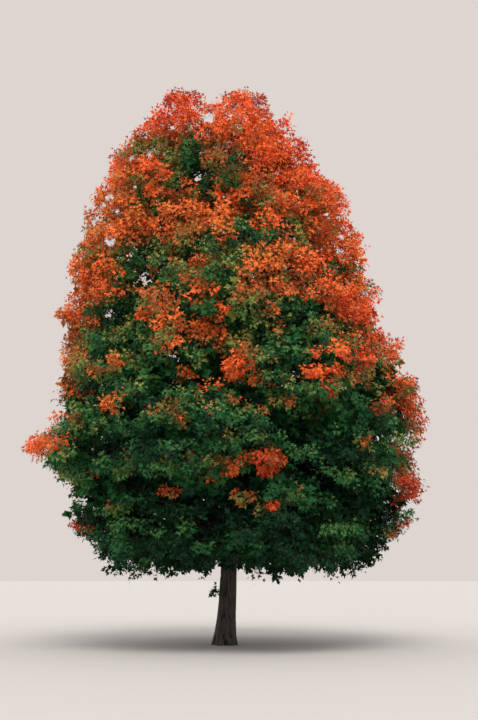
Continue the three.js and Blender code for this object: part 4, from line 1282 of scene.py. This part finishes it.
# Every leaf's foot on its shoot, its direction, the way its blade faces, its size and its stalk's end.
shares = np.linspace(FIRST_PAIR, 1, LEAF_PAIRS)
level, raised = across(shoot_way)
pair_turn = np.arange(LEAF_PAIRS) % 2 * PAIR_TURN
pair_turn = pair_turn + rng.uniform(-PAIR_SCATTER, PAIR_SCATTER, (shoot_count, LEAF_PAIRS))
side = np.cos(pair_turn)[..., None] * level[:, None] + np.sin(pair_turn)[..., None] * raised[:, None]
pair = np.stack([side, -side], 2)  # shoots, pairs, 2 leaves, xyz
leaf_foot = shoot_foot[:, None] + (shares * shoot_length[:, None])[..., None] * shoot_way[:, None]
leaf_foot = np.repeat(leaf_foot[:, :, None], 2, 2).reshape(-1, 3)
leaf_way = LEAF_AHEAD * shoot_way[:, None, None] + LEAF_ASIDE * pair
leaf_way += rng.normal(0, LEAF_SCATTER, pair.shape)
leaf_way[..., 2] -= (LEAF_DROOP + LOW_DROOP * (1 - crown_share[shoot_sprig]))[:, None, None]
leaf_way[:, -1] += END_AHEAD * shoot_way[:, None]
leaf_way = unit(leaf_way).reshape(-1, 3)
leaf_shoot = np.repeat(np.arange(shoot_count), 2 * LEAF_PAIRS)
leaf_count = len(leaf_foot)
leaf_shaded = shaded[leaf_shoot]
face_up = FACE_OUT * outward(middle)[leaf_shoot]
face_up[:, 2] *= read_off(OUT_AND_UP, leaf_foot[:, 2])
face_up += rng.normal(0, FACE_SCATTER, (leaf_count, 3))
face_up[:, 2] += np.where(leaf_shaded, SHADE_FACE_UP, read_off(FACE_UP, leaf_foot[:, 2]))
leaf_across = unit(np.cross(leaf_way, face_up))
leaf_up = np.cross(leaf_across, leaf_way)
widest = np.where(innermost, CORE_LEAF_WIDTH, SHADE_LEAF_WIDTH)[leaf_shoot]
leaf_size = LEAF_WIDTH + leaf_shaded * read_off(LARGER, leaf_foot[:, 2]) * (widest - LEAF_WIDTH)
leaf_size = leaf_size * rng.uniform(*WIDTH_RANGE, leaf_count)
leaf_base = leaf_foot + rng.uniform(STALK_SHORT, STALK_LONG, (leaf_count, 1)) * leaf_way
fold = rng.uniform(*FOLD_RANGE, (leaf_count, 1))
curl = rng.uniform(*CURL_RANGE, (leaf_count, 1))

# Leaves that would be seen in an open gap or past the crown's ragged edge are left out.
seen = seen_places(leaf_base + 0.5 * leaf_size[:, None] * leaf_way)
shown = np.ones(leaf_count, bool)
for x, z, radius in OPEN_GAPS:
    shown &= gap_to(seen, x, z) > radius * rng.uniform(*GAP_RAGGED, leaf_count)
edge_swell = EDGE_WAVES * drift(middle, WAVE_SIZE, EDGE_SEED)
ragged = rng.normal(0, EDGE_RAGGED, leaf_count) + edge_swell[leaf_shoot]
left, right = edge_at(seen[:, 1])
shown &= (seen[:, 0] > left - ragged) & (seen[:, 0] < right + ragged)
shown &= (seen[:, 1] > read_off(CROWN_FOOT, seen[:, 0]) - ragged) | on_sprout[leaf_shoot]
shown &= seen[:, 1] < read_off(CROWN_TOP, seen[:, 0]) + ragged


def leaf_blades(pick, outline):
    """The 6 corners of each picked blade: base, right side, tip and left side.

    A corner at (x, y) leaf widths stands at base + w (x across + y way + (fold |x| - curl y^2) up)."""
    x, y = np.array(outline).T
    lift = fold[pick] * np.abs(x) - curl[pick] * y**2
    blade = x[:, None] * leaf_across[pick][:, None] + y[:, None] * leaf_way[pick][:, None]
    blade += lift[..., None] * leaf_up[pick][:, None]
    return leaf_base[pick][:, None] + leaf_size[pick][:, None, None] * blade


def leaf_mesh(name, pick):
    """The picked leaves: those in the light with a stalk, those in the shade wedged down to the shoot.

    A leaf in the light has the 6 corners of its blade and then 3 of its stalk, one in the shade 6."""
    bright, dim = pick[~leaf_shaded[pick]], pick[leaf_shaded[pick]]
    half = STALK_WIDTH / 2 * leaf_across[bright]
    stalks = np.stack([leaf_foot[bright], leaf_base[bright] + half, leaf_base[bright] - half], 1)
    stalked = np.concatenate([leaf_blades(bright, SUN_OUTLINE), stalks], 1)
    wedged = leaf_blades(dim, SHADE_OUTLINE)
    wedged[:, 0] = leaf_foot[dim]
    bright_faces = np.array(BLADE_FACES + [STALK_FACE]) + 9 * np.arange(len(bright))[:, None, None]
    dim_faces = np.array(BLADE_FACES) + 9 * len(bright) + 6 * np.arange(len(dim))[:, None, None]
    corners = np.concatenate([stalked.reshape(-1, 3), wedged.reshape(-1, 3)])
    loops = np.concatenate([bright_faces.ravel(), dim_faces.ravel()])
    return new_mesh(name, corners, loops, np.full(len(loops) // 3, 3))


for number, (tint, colour, slot, _) in enumerate(tints):
    leaves = np.flatnonzero((shoot_tint[leaf_shoot] == number) & shown)
    material = plain_material(tint + "_leaf", colour, roughness=0.6, specular=0.15)
    parts = -(-len(leaves) // MOST_LEAVES)
    for part, pick in enumerate(np.array_split(leaves, parts)):
        mesh = leaf_mesh(f"leaves_{tint}" + (f"_{part + 1}" if parts > 1 else ""), pick)
        leaf_masses = [mass_names[m] for m in np.unique(bunch_mass[shoot_bunch[leaf_shoot[pick]]])]
        place_piece(mesh, material, leaf_masses, smooth=False)


# The studio: a wide round floor, pale and level with the trunk's cut, light from all round that is
# strongest overhead, and a broad soft lamp high in front. The camera stands at the viewer's eye.
FLOOR_REACH = 160.0
FLOOR_CORNERS = 180
LAMP_STRENGTH = 1.9
LAMP_WIDTH = 32  # degrees across
LAMP_TILT = (34, 2)  # degrees off straight down, about the level axes
EYE_PITCH = 10.87  # degrees above level
FOCAL_LENGTH = 55.0
FILM_WIDTH = 36.0

turns = np.linspace(0, 2 * np.pi, FLOOR_CORNERS, endpoint=False)
floor_rim = FLOOR_REACH * np.stack([np.cos(turns), np.sin(turns), 0 * turns], 1)
floor_mesh = new_mesh("floor", floor_rim, np.arange(FLOOR_CORNERS), np.array([FLOOR_CORNERS]))
floor_mesh.materials.append(plain_material("floor_paint", (184, 178, 172), roughness=0.9, specular=0.1))
floor = bpy.data.objects.new("floor", floor_mesh)
bpy.context.scene.collection.objects.link(floor)

world = bpy.data.worlds.new("studio")
bpy.context.scene.world = world
world.use_nodes = True
studio = world.node_tree
backdrop = studio.nodes["Background"]
backdrop.inputs["Color"].default_value = linear(222, 213, 208)
place = add_node(studio, "ShaderNodeTexCoord").outputs["Generated"]
upward = add_node(studio, "ShaderNodeSeparateXYZ", in_Vector=place).outputs["Z"]
brighter = add_node(studio, "ShaderNodeMapRange", in_To_Min=0.98, in_To_Max=1.5, in_Value=upward)
lighting = add_node(
    studio, "ShaderNodeBackground", in_Color=linear(240, 240, 242), in_Strength=brighter.outputs["Result"]
)
choice = add_node(
    studio, "ShaderNodeMixShader", in_0=add_node(studio, "ShaderNodeLightPath").outputs["Is Camera Ray"],
    in_1=lighting.outputs["Background"], in_2=backdrop.outputs["Background"],
)
studio.links.new(choice.outputs["Shader"], studio.nodes["World Output"].inputs["Surface"])

lamp_data = bpy.data.lights.new("overhead", "SUN")
lamp_data.energy = LAMP_STRENGTH
lamp_data.angle = math.radians(LAMP_WIDTH)
lamp = bpy.data.objects.new("overhead", lamp_data)
lamp.rotation_euler = (math.radians(LAMP_TILT[0]), math.radians(LAMP_TILT[1]), 0)
bpy.context.scene.collection.objects.link(lamp)

camera_data = bpy.data.cameras.new("camera")
camera_data.lens = FOCAL_LENGTH
camera_data.sensor_width = FILM_WIDTH
camera_data.clip_end = 500.0
camera = bpy.data.objects.new("camera", camera_data)
camera.location = eye
camera.rotation_euler = (math.radians(90 + EYE_PITCH), 0, 0)
bpy.context.scene.collection.objects.link(camera)
bpy.context.scene.camera = camera
bpy.context.scene.view_settings.view_transform = "Standard"
